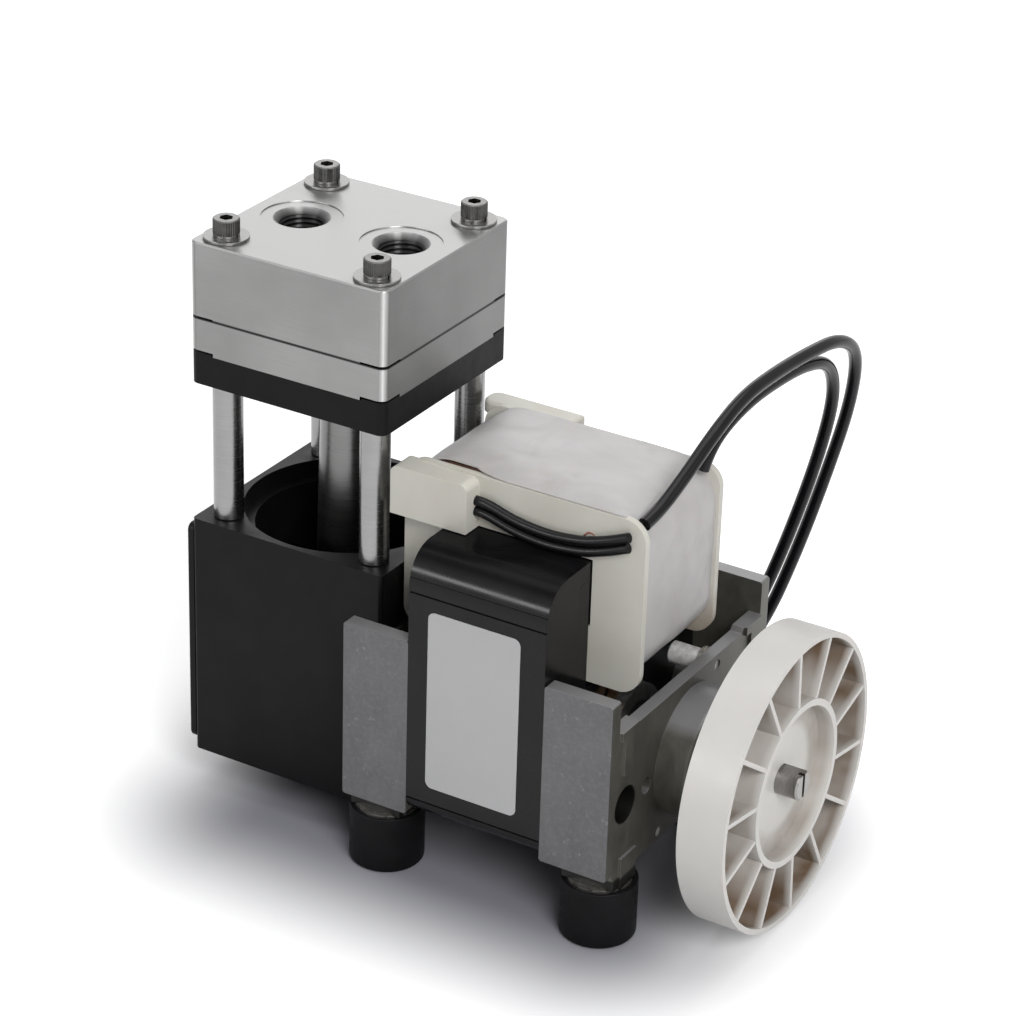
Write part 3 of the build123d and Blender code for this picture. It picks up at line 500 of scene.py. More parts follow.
def cast_alloy(name, colour, dusk):
    """Die-cast alloy: dull inside, and pale, speckled and scuffed on its ground outer sides, with a painted
    highlight on faces that look up, painted shade in the bolt pockets and a near-black band low down above the
    feet.
    """
    look = Finish(name, dusk, metallic=0.45, roughness=0.46)
    out = look.times(look.axis(look.place, "Y"), 0.0, "ABSOLUTE")
    half_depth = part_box("stator_frame")[1][1]
    ground = look.levels(out, half_depth - 0.7 * MM, half_depth - 0.2 * MM)
    speckle = look.noise(700, 5.0, rough=0.7)
    flow = look.noise(150, 5.0, (1, 1, 0.5), 0.6, 0.6)
    scuff = look.levels(look.noise(400, 6.0, rough=0.8), 0.62, 0.68)
    dull = look.colours(look.levels(flow, 0.3, 0.72), scaled(dusk, 0.7), scaled(dusk, 1.25))
    bare = look.colours(look.levels(flow, 0.3, 0.72), scaled(colour, 0.85), scaled(colour, 1.12))
    bare = look.colours(look.levels(speckle, 0.48, 0.7, 0.0, 0.45), bare, scaled(colour, 1.5))
    bare = look.colours(look.times(scuff, 0.7), bare, scaled(colour, 2.2))
    tone = look.colours(ground, dull, bare)
    # painted highlight: faces that look up made much paler
    tone = look.colours(look.times(look.facing_up(), 0.8), tone, scaled(colour, 2.3))
    # painted shade down in the through-bolt pockets
    low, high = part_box("through_bolts")
    reach = look.from_line((0, high[1] - BOLT_HEAD_RADIUS, (low[2] + high[2]) / 2), (0, 1, 1), mirrored=True)
    pocket = look.levels(reach, BOLT_POCKET_RADIUS + 0.1 * MM, BOLT_POCKET_RADIUS + 0.3 * MM, 1.0, 0.0)
    tone = look.colours(pocket, tone, scaled(dusk, 0.06))
    # the bracket's lowest few millimetres above the feet made near black
    foot_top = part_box("feet")[1][2]
    dark_bottom_band = look.levels(look.axis(look.place, "Z"), foot_top + 3.4 * MM, foot_top + 4.2 * MM, 1.0, 0.0)
    look.colours(dark_bottom_band, tone, scaled(dusk, 0.08))
    look.roughness(flow, 0.36, 0.52)
    look.bump(speckle, 0.00003, 0.45)
    look.bump(flow, 0.0001, 0.2)
    return look.material


def lamination_enamel(name, colour):
    """Black enamel over stacked sheets: faint lines across the shaft, and a glossy skin."""
    look = Finish(name, colour, roughness=0.16, Specular_IOR_Level=0.2)
    look.join(look.levels(look.facing_up(), 0.0, 1.0, 0.2, 0.05), look.shader.inputs["Specular IOR Level"])
    sheet = look.lines(0.5 * MM, "X", 0.4)
    cloud = look.noise(110, 4.0)
    dust = look.noise(2400, 3.0)
    tone = look.colours(look.levels(cloud, 0.35, 0.7), colour, scaled(colour, 1.5))
    look.colours(look.levels(dust, 0.6, 0.8, 0.0, 0.25), tone, scaled(colour, 3.0))
    look.roughness(cloud, 0.16, 0.24)
    look.bump(sheet, 0.000004, 0.2)
    look.bump(dust, 0.000004, 0.2)
    return look.material


def moulded(look, tone, painted_shade, shade, rough):
    """The skin of moulded nylon: painted shade in the shade colour where the mask is 1, an uneven sheen and
    orange peel.
    """
    look.colours(painted_shade, tone, shade)
    look.roughness(look.noise(200, 3.0), *rough)
    look.bump(look.noise(1800, 2.0), 0.00001, 0.35)
    return look.material


def bobbin_nylon(name, colour, shade, below):
    """The bobbin's nylon, with slow drift and fine specks, and painted brown shade low on its rear flange."""
    look = Finish(name, colour, roughness=0.42, Subsurface_Weight=0.06, Subsurface_Scale=0.0015)
    drift = look.noise(45, 3.0, distortion=0.3)
    specks = look.levels(look.noise(900, 5.0, rough=0.7), 0.66, 0.8, 0.0, 0.2)
    tone = look.colours(look.levels(drift, 0.35, 0.7), colour, shade)
    tone = look.colours(specks, tone, scaled(shade, 0.78))
    # painted shade: browner low on the rear flange
    rear = look.levels(look.axis(look.place, "Y"), 0.0, 1.0 * MM)
    low = look.levels(look.axis(look.place, "Z"), below - 8.0 * MM, below + 8.0 * MM, 1.0, 0.0)
    patch = look.levels(look.noise(130, 4.0), 0.3, 0.6, 0.6, 0.95)
    return moulded(look, tone, look.times(look.times(rear, low), patch), (0.20, 0.145, 0.10), (0.36, 0.52))


def fan_nylon(name, colour, shade, depth):
    """The fan's nylon: paler at the front, with painted brown shade down inside its pockets."""
    look = Finish(name, colour, roughness=0.4, Subsurface_Weight=0.05, Subsurface_Scale=0.0015)
    low, high = (Vector(corner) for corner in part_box("fan"))
    radius = (high.z - low.z) / 2
    reach = look.from_line((low + high) / 2, (0, 1, 1))
    # painted shade: browner down in the pockets, towards the rim and round the hub recess
    within = look.levels(reach, radius - 1.3 * MM, radius - 0.9 * MM, 1.0, 0.0)
    sunk = look.levels(look.axis(look.place, "X"), high.x - depth, high.x - 0.4 * MM, 1.0, 0.0)
    drift = look.noise(45, 3.0, distortion=0.3)
    painted_shade = look.levels(look.noise(44, 3.0, distortion=0.4), 0.36, 0.58, 0.5, 1.0)
    recess = look.levels(reach, radius * 0.34, radius * 0.4, 0.0, 0.5)
    outer = look.times(recess, look.levels(reach, radius * 0.45, radius * 0.85), "MAXIMUM")
    tone = look.colours(look.levels(drift, 0.35, 0.7), colour, scaled(colour, 0.95))
    pocket_shade = look.times(look.times(look.times(within, sunk), painted_shade), outer)
    return moulded(look, tone, pocket_shade, shade, (0.34, 0.5))


def taped(name, colour, fold):
    """Coil tape: soft bands round the coil, creases with painted shade along them, and a waxy skin."""
    look = Finish(name, colour, roughness=0.4, Subsurface_Weight=0.1, Subsurface_Scale=0.002)
    band = look.noise(1.0, 3.0, (34, 60, 34), 0.5, 0.6)
    crease = look.noise(70, 5.0, (1, 1.3, 1), 0.58, 1.0)
    tone = look.colours(look.levels(band, 0.35, 0.68), colour, fold)
    # painted shade along the creases
    tone = look.colours(look.levels(crease, 0.54, 0.74, 0.0, 0.45), tone, scaled(fold, 0.9))
    stain = look.levels(look.noise(42, 4.0, distortion=0.8), 0.5, 0.72, 0.0, 0.5)
    look.colours(stain, tone, (0.34, 0.315, 0.29))
    look.roughness(crease, 0.3, 0.5)
    look.bump(band, 0.0004, 0.2)
    look.bump(crease, 0.0003, 0.2)
    return look.material


def vinyl(name, colour):
    """Bare sticker stock: an even grey film with a trace of texture."""
    look = Finish(name, colour, roughness=0.42)
    film = look.noise(60, 2.0)
    look.colours(look.levels(film, 0.35, 0.7), scaled(colour, 0.985), scaled(colour, 1.015))
    look.roughness(look.noise(300, 3.0), 0.38, 0.46)
    look.bump(look.noise(2200, 2.0), 0.000006, 0.3)
    return look.material


def rubber(name, colour):
    """Matt black rubber, a little cloudy."""
    look = Finish(name, colour, roughness=0.5, Specular_IOR_Level=0.12)
    cloud = look.noise(120, 4.0)
    look.colours(look.levels(cloud, 0.35, 0.75), colour, scaled(colour, 2.0))
    look.roughness(look.noise(420, 4.0), 0.38, 0.60)
    look.bump(look.noise(2600, 3.0), 0.00003, 0.35)
    return look.material


def sheath(name, colour):
    """Soft glossy cable sheath with slow waves from the drum."""
    look = Finish(name, colour, roughness=0.14, Specular_IOR_Level=0.12, Coat_Weight=0.2, Coat_Roughness=0.1)
    wave = look.noise(160, 3.0)
    look.colours(look.levels(wave, 0.35, 0.7), colour, scaled(colour, 1.8))
    look.roughness(look.noise(700, 3.0), 0.10, 0.20)
    look.bump(wave, 0.00006, 0.25)
    return look.material


def braided(name, colour):
    """Varnished braid: crossed diagonal ribs under a glossy coat."""
    look = Finish(name, colour, roughness=0.24, Specular_IOR_Level=0.15, Coat_Weight=0.12, Coat_Roughness=0.12)
    weave = look.cells(2600, (1, 1, 1.4))
    look.colours(look.levels(weave, 0.1, 0.6), scaled(colour, 2.0), colour)
    look.roughness(weave, 0.22, 0.4)
    look.bump(weave, 0.00004, 0.3)
    return look.material


def wound_wire(name, colour):
    """Layers of enamelled wire, side by side, with painted shade in the grooves between the turns."""
    look = Finish(name, colour, metallic=0.7, roughness=0.3)
    turns = look.lines(0.4 * MM, "Y", 0.5)
    # painted shade: dark lines between the turns
    look.colours(turns, scaled(colour, 0.45), colour)
    look.roughness(look.noise(500, 3.0), 0.24, 0.4)
    look.bump(turns, 0.0001, 0.5)
    return look.material


finishes = {}


def finish(name):
    """Make each finish once, from the colours set in the panel."""
    look = bpy.context.scene.pump_look
    makers = {
        "head": lambda: brushed_alloy("ground_head_alloy", tuple(look.head_colour)),
        "plate": lambda: brushed_alloy("ground_plate_alloy", scaled(tuple(look.head_colour), 1.03)),
        "black": lambda: anodised("black_anodised", tuple(look.black_colour)),
        "ring": lambda: anodised("black_clamp_ring", tuple(look.black_colour), 0.4),
        "post": lambda: turned_steel("turned_posts", (0.31, 0.31, 0.308), 0.25),
        "rod": lambda: turned_steel("turned_rod", (0.2, 0.2, 0.198), 0.28),
        "shaft": lambda: turned_steel("turned_shaft", (0.30, 0.29, 0.28), 0.26, "X"),
        "screw": lambda: plated("black_screws", (0.085, 0.084, 0.082), 0.3, top_highlight=2.0),
        "washer": lambda: plated("stamped_washers", (0.23, 0.228, 0.224), 0.28),
        "zinc": lambda: plated("zinc_plate", (0.62, 0.60, 0.56), 0.3),
        "retainer": lambda: plated("bright_retainers", (0.80, 0.79, 0.78), 0.36, metallic=0.3),
        "spring": lambda: plated("spring_steel", (0.5, 0.5, 0.5), 0.2),
        "bearing": lambda: turned_steel("bearing_rings", (0.6, 0.6, 0.6), 0.14, "X"),
        "cast": lambda: cast_alloy("cast_bracket", tuple(look.cast_colour), tuple(look.cast_dusk)),
        "enamel": lambda: lamination_enamel("stack_enamel", tuple(look.stack_colour)),
        "rotor": lambda: plated("rotor_iron", (0.18, 0.18, 0.18), 0.4),
        "rotor_alloy": lambda: plated("rotor_end_alloy", (0.5, 0.5, 0.5), 0.36),
        "copper": lambda: plated("dull_copper", (0.20, 0.12, 0.07), 0.36),
        "wire": lambda: wound_wire("coil_wire", (0.08, 0.04, 0.028)),
        "wire_end": lambda: wound_wire("winding_end_wire", (0.30, 0.10, 0.06)),
        "bobbin": lambda: bobbin_nylon("bobbin_nylon", tuple(look.bobbin_colour), (0.55, 0.53, 0.47),
                                       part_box("coil_wrap")[0][2] + 6.0 * MM),
        "tape": lambda: taped("coil_tape", tuple(look.tape_colour), (0.44, 0.42, 0.415)),
        "fan": lambda: fan_nylon("fan_nylon", tuple(look.fan_colour), (0.17, 0.115, 0.075), 2.4 * MM),
        "label": lambda: vinyl("bare_sticker", tuple(look.label_colour)),
        "rubber": lambda: rubber("foot_rubber", (0.0035, 0.0035, 0.004)),
        "seal": lambda: rubber("seal_rubber", (0.014, 0.014, 0.014)),
        "lead": lambda: sheath("lead_sheath", (0.0035, 0.0035, 0.0042)),
        "sleeve": lambda: braided("fuse_braid", (0.005, 0.005, 0.0055)),
    }
    if name not in finishes:
        finishes[name] = makers[name]()
    return finishes[name]


# ------------------------------------------------------------------ settings

class PumpLook(bpy.types.PropertyGroup):
    """Sizes and colours of the pump's dressing."""

    head_colour: bpy.props.FloatVectorProperty(
        name="Head", description="Colour of the ground head and valve plate", subtype="COLOR",
        default=(0.235, 0.235, 0.233))
    black_colour: bpy.props.FloatVectorProperty(
        name="Crankcase", description="Colour of the black anodised parts", subtype="COLOR",
        default=(0.0045, 0.0045, 0.005))
    cast_colour: bpy.props.FloatVectorProperty(
        name="Brackets", description="Colour of the cast end brackets", subtype="COLOR",
        default=(0.118, 0.117, 0.121))
    cast_dusk: bpy.props.FloatVectorProperty(
        name="Brackets inside", description="Colour of the brackets' dull webs and inner sides", subtype="COLOR",
        default=(0.11, 0.108, 0.092))
    stack_colour: bpy.props.FloatVectorProperty(
        name="Laminations", description="Colour of the enamelled stack", subtype="COLOR",
        default=(0.005, 0.005, 0.0055))
    bobbin_colour: bpy.props.FloatVectorProperty(
        name="Bobbin", description="Colour of the moulded bobbin", subtype="COLOR",
        default=(0.60, 0.585, 0.53))
    tape_colour: bpy.props.FloatVectorProperty(
        name="Tape", description="Colour of the tape round the coil", subtype="COLOR",
        default=(0.50, 0.485, 0.485))
    fan_colour: bpy.props.FloatVectorProperty(
        name="Fan", description="Colour of the moulded fan", subtype="COLOR", default=(0.61, 0.595, 0.57))
    label_colour: bpy.props.FloatVectorProperty(
        name="Sticker", description="Colour of the bare sticker", subtype="COLOR",
        default=(0.45, 0.45, 0.455))
    casting_edge: bpy.props.FloatProperty(
        name="Casting edge", description="Rounding of the cast brackets' edges", default=0.0005, min=0.0001,
        max=0.002, unit="LENGTH")
    moulding_edge: bpy.props.FloatProperty(
        name="Moulding edge", description="Rounding of the fan's and bobbin's edges", default=0.00035,
        min=0.0001, max=0.002, unit="LENGTH")
    machined_edge: bpy.props.FloatProperty(
        name="Machined edge", description="Rounding of the milled and turned parts' edges", default=0.00025,
        min=0.00005, max=0.001, unit="LENGTH")
    thread_pitch: bpy.props.FloatProperty(
        name="Port thread pitch", description="Pitch of the pipe thread in the ports", default=0.001337,
        min=0.0005, max=0.003, unit="LENGTH")
    lead_diameter: bpy.props.FloatProperty(
        name="Lead diameter", description="Diameter over the leads' sheath", default=0.0036,
        min=0.001, max=0.008, unit="LENGTH")
    tape_crease: bpy.props.FloatProperty(
        name="Tape creases", description="Height of the tape's folds", default=0.0006, min=0.0, max=0.002,
        unit="LENGTH")
    tape_corner: bpy.props.FloatProperty(
        name="Tape corner", description="Radius of the tape at the coil's four corners", default=0.0122,
        min=0.005, max=0.02, unit="LENGTH")
    lens: bpy.props.FloatProperty(
        name="Lens", description="Focal length of the view on a 36 mm film width", default=123.08,
        min=20, max=300)
    key_light: bpy.props.FloatProperty(
        name="Top light", description="Power of the large soft light overhead", default=5.8, min=0.0, max=100,
        unit="POWER")


class PumpStep(bpy.types.Operator):
    """One step of the dressing"""
    bl_options = {"REGISTER", "UNDO"}

    @property
    def look(self):
        return bpy.context.scene.pump_look


# ------------------------------------------------------------------ pieces

class PUMP_OT_head(PumpStep):
    """Head cover, valve plate and clamp ring, with the shop's edge breaks"""
    bl_idname = "pump.head"
    bl_label = "Head"

    def execute(self, context):
        softened("head_cover", finish("head"), self.look.machined_edge)
        softened("valve_plate", finish("plate"), self.look.machined_edge)
        softened("clamp_ring", finish("ring"), self.look.machined_edge)
        return {"FINISHED"}


class PUMP_OT_port_threads(PumpStep):
    """The pipe thread's ridges inside both ports"""
    bl_idname = "pump.port_threads"
    bl_label = "Port threads"

    def execute(self, context):
        pitch = self.look.thread_pitch
        for port in ports:
            x, y, z = port["pos_m"]
            root = port["dims"]["r_mm"] * MM + 0.04 * MM
            ridge = port["dims"]["r_mm"] * MM - 0.34 * MM
            turns = int(port["dims"]["length_mm"] * MM / pitch) - 1
            deselect_all()
            bpy.ops.mesh.primitive_circle_add(vertices=3, radius=pitch, fill_type="NGON")
            piece = named(port["name"] + "_thread")
            open_all(piece)
            mesh = bmesh.from_edit_mesh(piece.data)
            corners = ((root, -0.42 * pitch), (root, 0.42 * pitch), (ridge, 0.0))
            for vert, (across, up) in zip(mesh.verts, corners):
                vert.co = (across, 0.0, up)
            bmesh.update_edit_mesh(piece.data)
            bpy.ops.mesh.delete(type="ONLY_FACE")
            done_editing()
            modify(piece, "SCREW", axis="Z", screw_offset=-pitch, iterations=turns, steps=36, render_steps=36,
                   use_merge_vertices=False)
            closed(piece, 3)
            piece.location = (x, y, z + 0.2 * MM)
            settle(piece)
            smooth(piece, 40)
            added_to(piece, "root", finish("head"))
        return {"FINISHED"}


def boxes_of(node):
    """Lowest and highest corner of each separate solid of a CAD node."""
    mesh = bmesh.new()
    mesh.from_mesh(frame["nodes"][node].data)
    bmesh.ops.remove_doubles(mesh, verts=mesh.verts, dist=2e-6)
    seen, boxes = set(), []
    for start in mesh.verts:
        if start.index in seen:
            continue
        group, stack = [], [start]
        seen.add(start.index)
        while stack:
            vert = stack.pop()
            group.append(vert.co.copy())
            for edge in vert.link_edges:
                other = edge.other_vert(vert)
                if other.index not in seen:
                    seen.add(other.index)
                    stack.append(other)
        boxes.append(tuple(Vector([limit(p[i] for p in group) for i in range(3)]) for limit in (min, max)))
    mesh.free()
    return boxes


def copied_to(piece, places, name):
    """One copy of a finished piece at each place, each with its own mesh, joined."""
    copies = []
    for place in places:
        copy = piece.copy()
        copy.data = piece.data.copy()
        bpy.context.collection.objects.link(copy)
        copy.location = place
        copies.append(copy)
    bpy.data.objects.remove(piece)
    activate(copies[0])
    for copy in copies:
        copy.select_set(True)
    bpy.ops.object.join()
    return settle(named(name))


class PUMP_OT_head_screws(PumpStep):
    """Socket cap screws with knurled heads, and their split spring washers"""
    bl_idname = "pump.head_screws"
    bl_label = "Head screws"

    def execute(self, context):
        boxes = boxes_of("head_screws")
        radius, height = (boxes[0][1].x - boxes[0][0].x) / 2, boxes[0][1].z - boxes[0][0].z
        crown = radius * 0.08
        screw = self.cap_screw(radius, height, crown)
        middle = crown + (CAP_HEIGHT - crown) / 2
        places = [((a.x + b.x) / 2, (a.y + b.y) / 2, b.z - middle) for a, b in boxes]
        stands_for(copied_to(screw, places, "knurled_screws"), "head_screws", finish("screw"))

        boxes = boxes_of("head_lock_washers")
        washer = self.split_washer((boxes[0][1].x - boxes[0][0].x) / 2, boxes[0][1].z - boxes[0][0].z)
        places = [(a + b) / 2 for a, b in boxes]
        stands_for(copied_to(washer, places, "split_washers"), "head_lock_washers", finish("washer"))
        softened("head_washers", finish("washer"), 0.12 * MM)
        return {"FINISHED"}

    def cap_screw(self, radius, height, crown):
        """One screw whose cap is centred on the origin: crowned, knurled, with a hexagon socket."""
        cap = CAP_HEIGHT - crown
        deselect_all()
        bpy.ops.mesh.primitive_cylinder_add(vertices=2 * KNURLS, radius=radius, depth=cap, end_fill_type="NGON")
        screw = named("head_screw")
        pick(screw, lambda f: f.normal.z > 0.9)
        bpy.ops.mesh.inset(thickness=radius * 0.1, depth=crown)
        bpy.ops.mesh.inset(thickness=radius * 0.32, depth=0)
        bpy.ops.mesh.extrude_region_move(TRANSFORM_OT_translate={"value": (0, 0, -SOCKET_DEPTH)})
        bpy.ops.transform.resize(value=(0.98, 0.98, 1))
        done_editing()
        with mesh_of(screw) as mesh:
            for vert in mesh.verts:
                out, turn = math.hypot(vert.co.x, vert.co.y), turn_of(vert.co)
                if out > radius * 0.97:
                    tooth = 1.0 if round(turn / math.pi * KNURLS) % 2 else 0.965
                    vert.co.x *= tooth
                    vert.co.y *= tooth
                elif out < radius * 0.62:
                    flat = SOCKET_HALF_WIDTH / math.cos(turn % (math.pi / 3) - math.pi / 6)
                    vert.co.x, vert.co.y = flat * math.cos(turn), flat * math.sin(turn)
        pick(screw, lambda f: f.normal.z < -0.9 and f.calc_center_median().z < -cap * 0.4)
        bpy.ops.mesh.inset(thickness=radius - SCREW_RADIUS, depth=0)
        bpy.ops.mesh.extrude_region_move(TRANSFORM_OT_translate={"value": (0, 0, CAP_HEIGHT - height)})
        done_editing()
        return smooth(outward(screw), 30)

    def split_washer(self, radius, thick):
        """One spring washer of square section, cut through at one place."""
        middle, half = (radius + LOCK_WASHER_BORE_RADIUS) / 2, (radius - LOCK_WASHER_BORE_RADIUS) / 2
        hair = 1e-7
        deselect_all()
        bpy.ops.mesh.primitive_torus_add(major_segments=56, minor_segments=4, major_radius=middle,
                                         minor_radius=half)
        washer = named("split_washer")
        with mesh_of(washer) as mesh:
            for vert in mesh.verts:
                out, turn = math.hypot(vert.co.x, vert.co.y), turn_of(vert.co)
                side = (out > middle + hair) - (out < middle - hair)
                rise = 1 if vert.co.z > 0 else -1
                across = middle + (side or rise) * half
                up = thick / 2 * (-side or rise)
                vert.co = (across * math.cos(turn), across * math.sin(turn), up)
            gap = [f for f in mesh.faces if abs(turn_of(f.calc_center_median())) < 0.06]
            bmesh.ops.delete(mesh, geom=gap, context="FACES")
        closed(washer, 4)
        modify(washer, "BEVEL", width=0.06 * MM, segments=1, limit_method="ANGLE")
        return smooth(washer, 30)


class PUMP_OT_posts(PumpStep):
    """Standoff posts and the connecting rod"""
    bl_idname = "pump.posts"
    bl_label = "Posts and rod"

    def execute(self, context):
        finish_nodes(finish("post"), "standoff_posts")
        finish_nodes(finish("rod"), "connecting_rod")
        return {"FINISHED"}


class PUMP_OT_crankcase(PumpStep):
    """Crankcase, its cover plate and their screws"""
    bl_idname = "pump.crankcase"
    bl_label = "Crankcase"

    def execute(self, context):
        softened("crankcase", finish("black"), self.look.machined_edge)
        softened("crankcase_cover", finish("black"), self.look.machined_edge)
        finish_nodes(finish("screw"), "cover_screws", "crankcase_screws")
        return {"FINISHED"}


class PUMP_OT_brackets(PumpStep):
    """Cast end brackets with rounded casting edges"""
    bl_idname = "pump.brackets"
    bl_label = "Brackets"

    def execute(self, context):
        for node in ("pump_side_bracket", "fan_side_bracket"):
            softened(node, finish("cast"), self.look.casting_edge, segments=3)
        finish_nodes(finish("retainer"), "retainer_screws")
        finish_nodes(finish("zinc"), "bearing_retainers", "through_bolts", "through_bolt_nuts")
        finish_nodes(finish("bearing"), "bearing_outer_rings", "bearing_inner_rings", "rod_bearing_outer",
                     "rod_bearing_inner")
        return {"FINISHED"}


class PUMP_OT_stack(PumpStep):
    """Enamelled laminations, core bar and shading rings"""
    bl_idname = "pump.stack"
    bl_label = "Laminations"

    def execute(self, context):
        softened("stator_frame", finish("enamel"), 0.3 * MM)
        finish_nodes(finish("enamel"), "core_bar")
        finish_nodes(finish("copper"), "shading_rings")
        return {"FINISHED"}


class PUMP_OT_rotor(PumpStep):
    """Rotor, shaft and crank"""
    bl_idname = "pump.rotor"
    bl_label = "Rotor and crank"

    def execute(self, context):
        finish_nodes(finish("rotor"), "rotor_core")
        finish_nodes(finish("rotor_alloy"), "rotor_end_rings")
        finish_nodes(finish("shaft"), "motor_shaft")
        finish_nodes(finish("rod"), "eccentric")
        finish_nodes(finish("screw"), "eccentric_screw", "crank_screw", "diaphragm_screw")
        finish_nodes(finish("zinc"), "crank_washer")
        return {"FINISHED"}


class PUMP_OT_valves(PumpStep):
    """Diaphragm, valve discs, pins and seals inside the head"""
    bl_idname = "pump.valves"
    bl_label = "Valves and diaphragm"

    def execute(self, context):
        finish_nodes(finish("spring"), "inlet_valve_disc", "outlet_valve_disc", "inlet_valve_pin",
                     "outlet_valve_pin")
        finish_nodes(finish("seal"), "diaphragm", "plenum_seals")
        finish_nodes(finish("zinc"), "diaphragm_clamp_disc")
        return {"FINISHED"}


class PUMP_OT_coil(PumpStep):
    """Bobbin, winding and the creased tape round it"""
    bl_idname = "pump.coil"
    bl_label = "Coil"

    def execute(self, context):
        softened("bobbin", finish("bobbin"), self.look.moulding_edge, segments=3)
        finish_nodes(finish("wire"), "coil_winding")
        low, high = (Vector(corner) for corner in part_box("coil_wrap"))
        tape = self.flat_tape(low, high)
        self.creased(tape, low, high)
        modify(tape, "SOLIDIFY", thickness=0.4 * MM, offset=-1)
        smooth(tape, 60)
        stands_for(tape, "coil_wrap", finish("tape"))
        self.wire_end(low.y - 2.4 * MM)
        return {"FINISHED"}

    def flat_tape(self, low, high):
        """An open tube round the coil, finely divided, with the coil's four rounded corners."""
        def runs_along(edge, limit=0.9):
            return abs((edge.verts[0].co - edge.verts[1].co).normalized().y) > limit

        deselect_all()
        bpy.ops.mesh.primitive_cube_add(size=1, location=(low + high) / 2)
        tape = named("coil_tape")
        tape.scale = high - low
        settle(tape)
        pick(tape, runs_along, "EDGE")
        bpy.ops.mesh.bevel(offset=self.look.tape_corner, offset_type="OFFSET", segments=16, profile=0.5)
        bpy.ops.mesh.select_all(action="SELECT")
        bpy.ops.mesh.remove_doubles(threshold=1e-6)
        done_editing()
        pick(tape, lambda f: abs(f.normal.y) > 0.9)
        bpy.ops.mesh.delete(type="FACE")
        done_editing()
        with mesh_of(tape) as mesh:
            across = [e for e in mesh.edges if runs_along(e)]
            bmesh.ops.subdivide_edges(mesh, edges=across, cuts=30, use_grid_fill=True)
            flats = [e for e in mesh.edges if not runs_along(e, 0.1) and e.calc_length() > 20 * MM]
            bmesh.ops.subdivide_edges(mesh, edges=flats, cuts=36, use_grid_fill=True)
        return outward(tape)

    def creased(self, tape, low, high):
        """Sink shallow creases into the tape, and lap its front edge over the bobbin's flange."""
        height = self.look.tape_crease
        middle, half = (low + high) / 2, (high - low) / 2
        lap_reach, lap_from, lap_to = 1.7 * MM, -0.42, 0.9
        lap_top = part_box("bobbin")[1][2] + 0.45 * MM
        with mesh_of(tape) as mesh:
            for vert in mesh.verts:
                across = (vert.co.y - middle.y) / half.y
                crown = 1 - across ** 4
                around = math.atan2(vert.co.z - middle.z, vert.co.x - middle.x)
                crossing = math.sin(across * 4.2 + 1.3 * math.sin(around * 3))
                crease = math.sin(around * 7 + 3.1 * across) * crossing
                fold = math.exp(-((around - 1.95) / 0.16) ** 2) * math.sin(across * 9 + 1.0)
                sink = 0.3 * MM * (1 - crown) + height * (0.25 - 0.2 * crease - 0.4 * fold * crown)
                vert.co -= vert.normal * min(max(sink, 0.03 * MM), 0.7 * MM)
                along = (vert.co.x - middle.x) / half.x
                forward = max(0.0, (-across - 0.86) / 0.14)
                if forward and vert.normal.z > 0.8 and lap_from < along < lap_to:
                    ease = forward * min(1.0, (along - lap_from) / 0.25, (lap_to - along) / 0.12) ** 0.5
                    vert.co.y -= lap_reach * ease
                    vert.co.z += (lap_top - vert.co.z) * ease

    def wire_end(self, face):
        """The winding's bare end, looped on the front flange."""
        deselect_all()
        bpy.ops.mesh.primitive_torus_add(major_segments=28, minor_segments=10, major_radius=1.6 * MM,
                                         minor_radius=0.22 * MM, location=(19.4 * MM, face, 104.6 * MM),
                                         rotation=(math.radians(76), 0, math.radians(8)))
        wire = settle(named("winding_end"))
        smooth(wire, 60)
        added_to(wire, "root", finish("wire_end"))


class PUMP_OT_sleeves(PumpStep):
    """The two braided sleeves in front of the flange"""
    bl_idname = "pump.sleeves"
    bl_label = "Fuse sleeves"

    def execute(self, context):
        finish_nodes(finish("sleeve"), "fuse_sleeve")
        return {"FINISHED"}


lead_routes = {
    "lead_a": [
        (32.7, -17.2, 111.1), (33.6, -11.5, 112.6), (35.0, -1.5, 118.4), (36.3, 11.0, 126.0),
        (37.0, 24.0, 130.8), (38.2, 38.0, 132.2), (39.8, 54.0, 132.4), (41.2, 70.0, 131.2),
        (40.8, 83.0, 123.0), (36.6, 90.5, 104.0), (30.0, 93.0, 80.0), (23.0, 92.5, 54.0),
        (15.5, 90.0, 29.5), (5.0, 87.0, 10.5), (-10.0, 84.0, 3.0), (-27.0, 80.0, 2.2),
        (-45.0, 78.0, 2.2), (-62.0, 79.5, 2.2), (-77.0, 84.0, 2.2)],
    "lead_b": [
        (31.2, 15.2, 112.4), (31.9, 16.8, 117.3), (33.4, 21.5, 122.6), (34.8, 31.5, 126.2),
        (35.7, 44.0, 127.0), (37.0, 58.5, 126.8), (37.8, 72.0, 123.0), (35.8, 81.5, 110.0),
        (31.0, 85.5, 90.0), (24.5, 86.0, 66.0), (17.5, 84.5, 42.5), (9.5, 81.5, 21.5),
        (-1.5, 77.5, 7.5), (-16.0, 73.5, 2.5), (-32.0, 70.5, 2.2), (-49.0, 68.5, 2.2),
        (-65.0, 70.0, 2.2), (-81.0, 72.0, 2.2)],
}


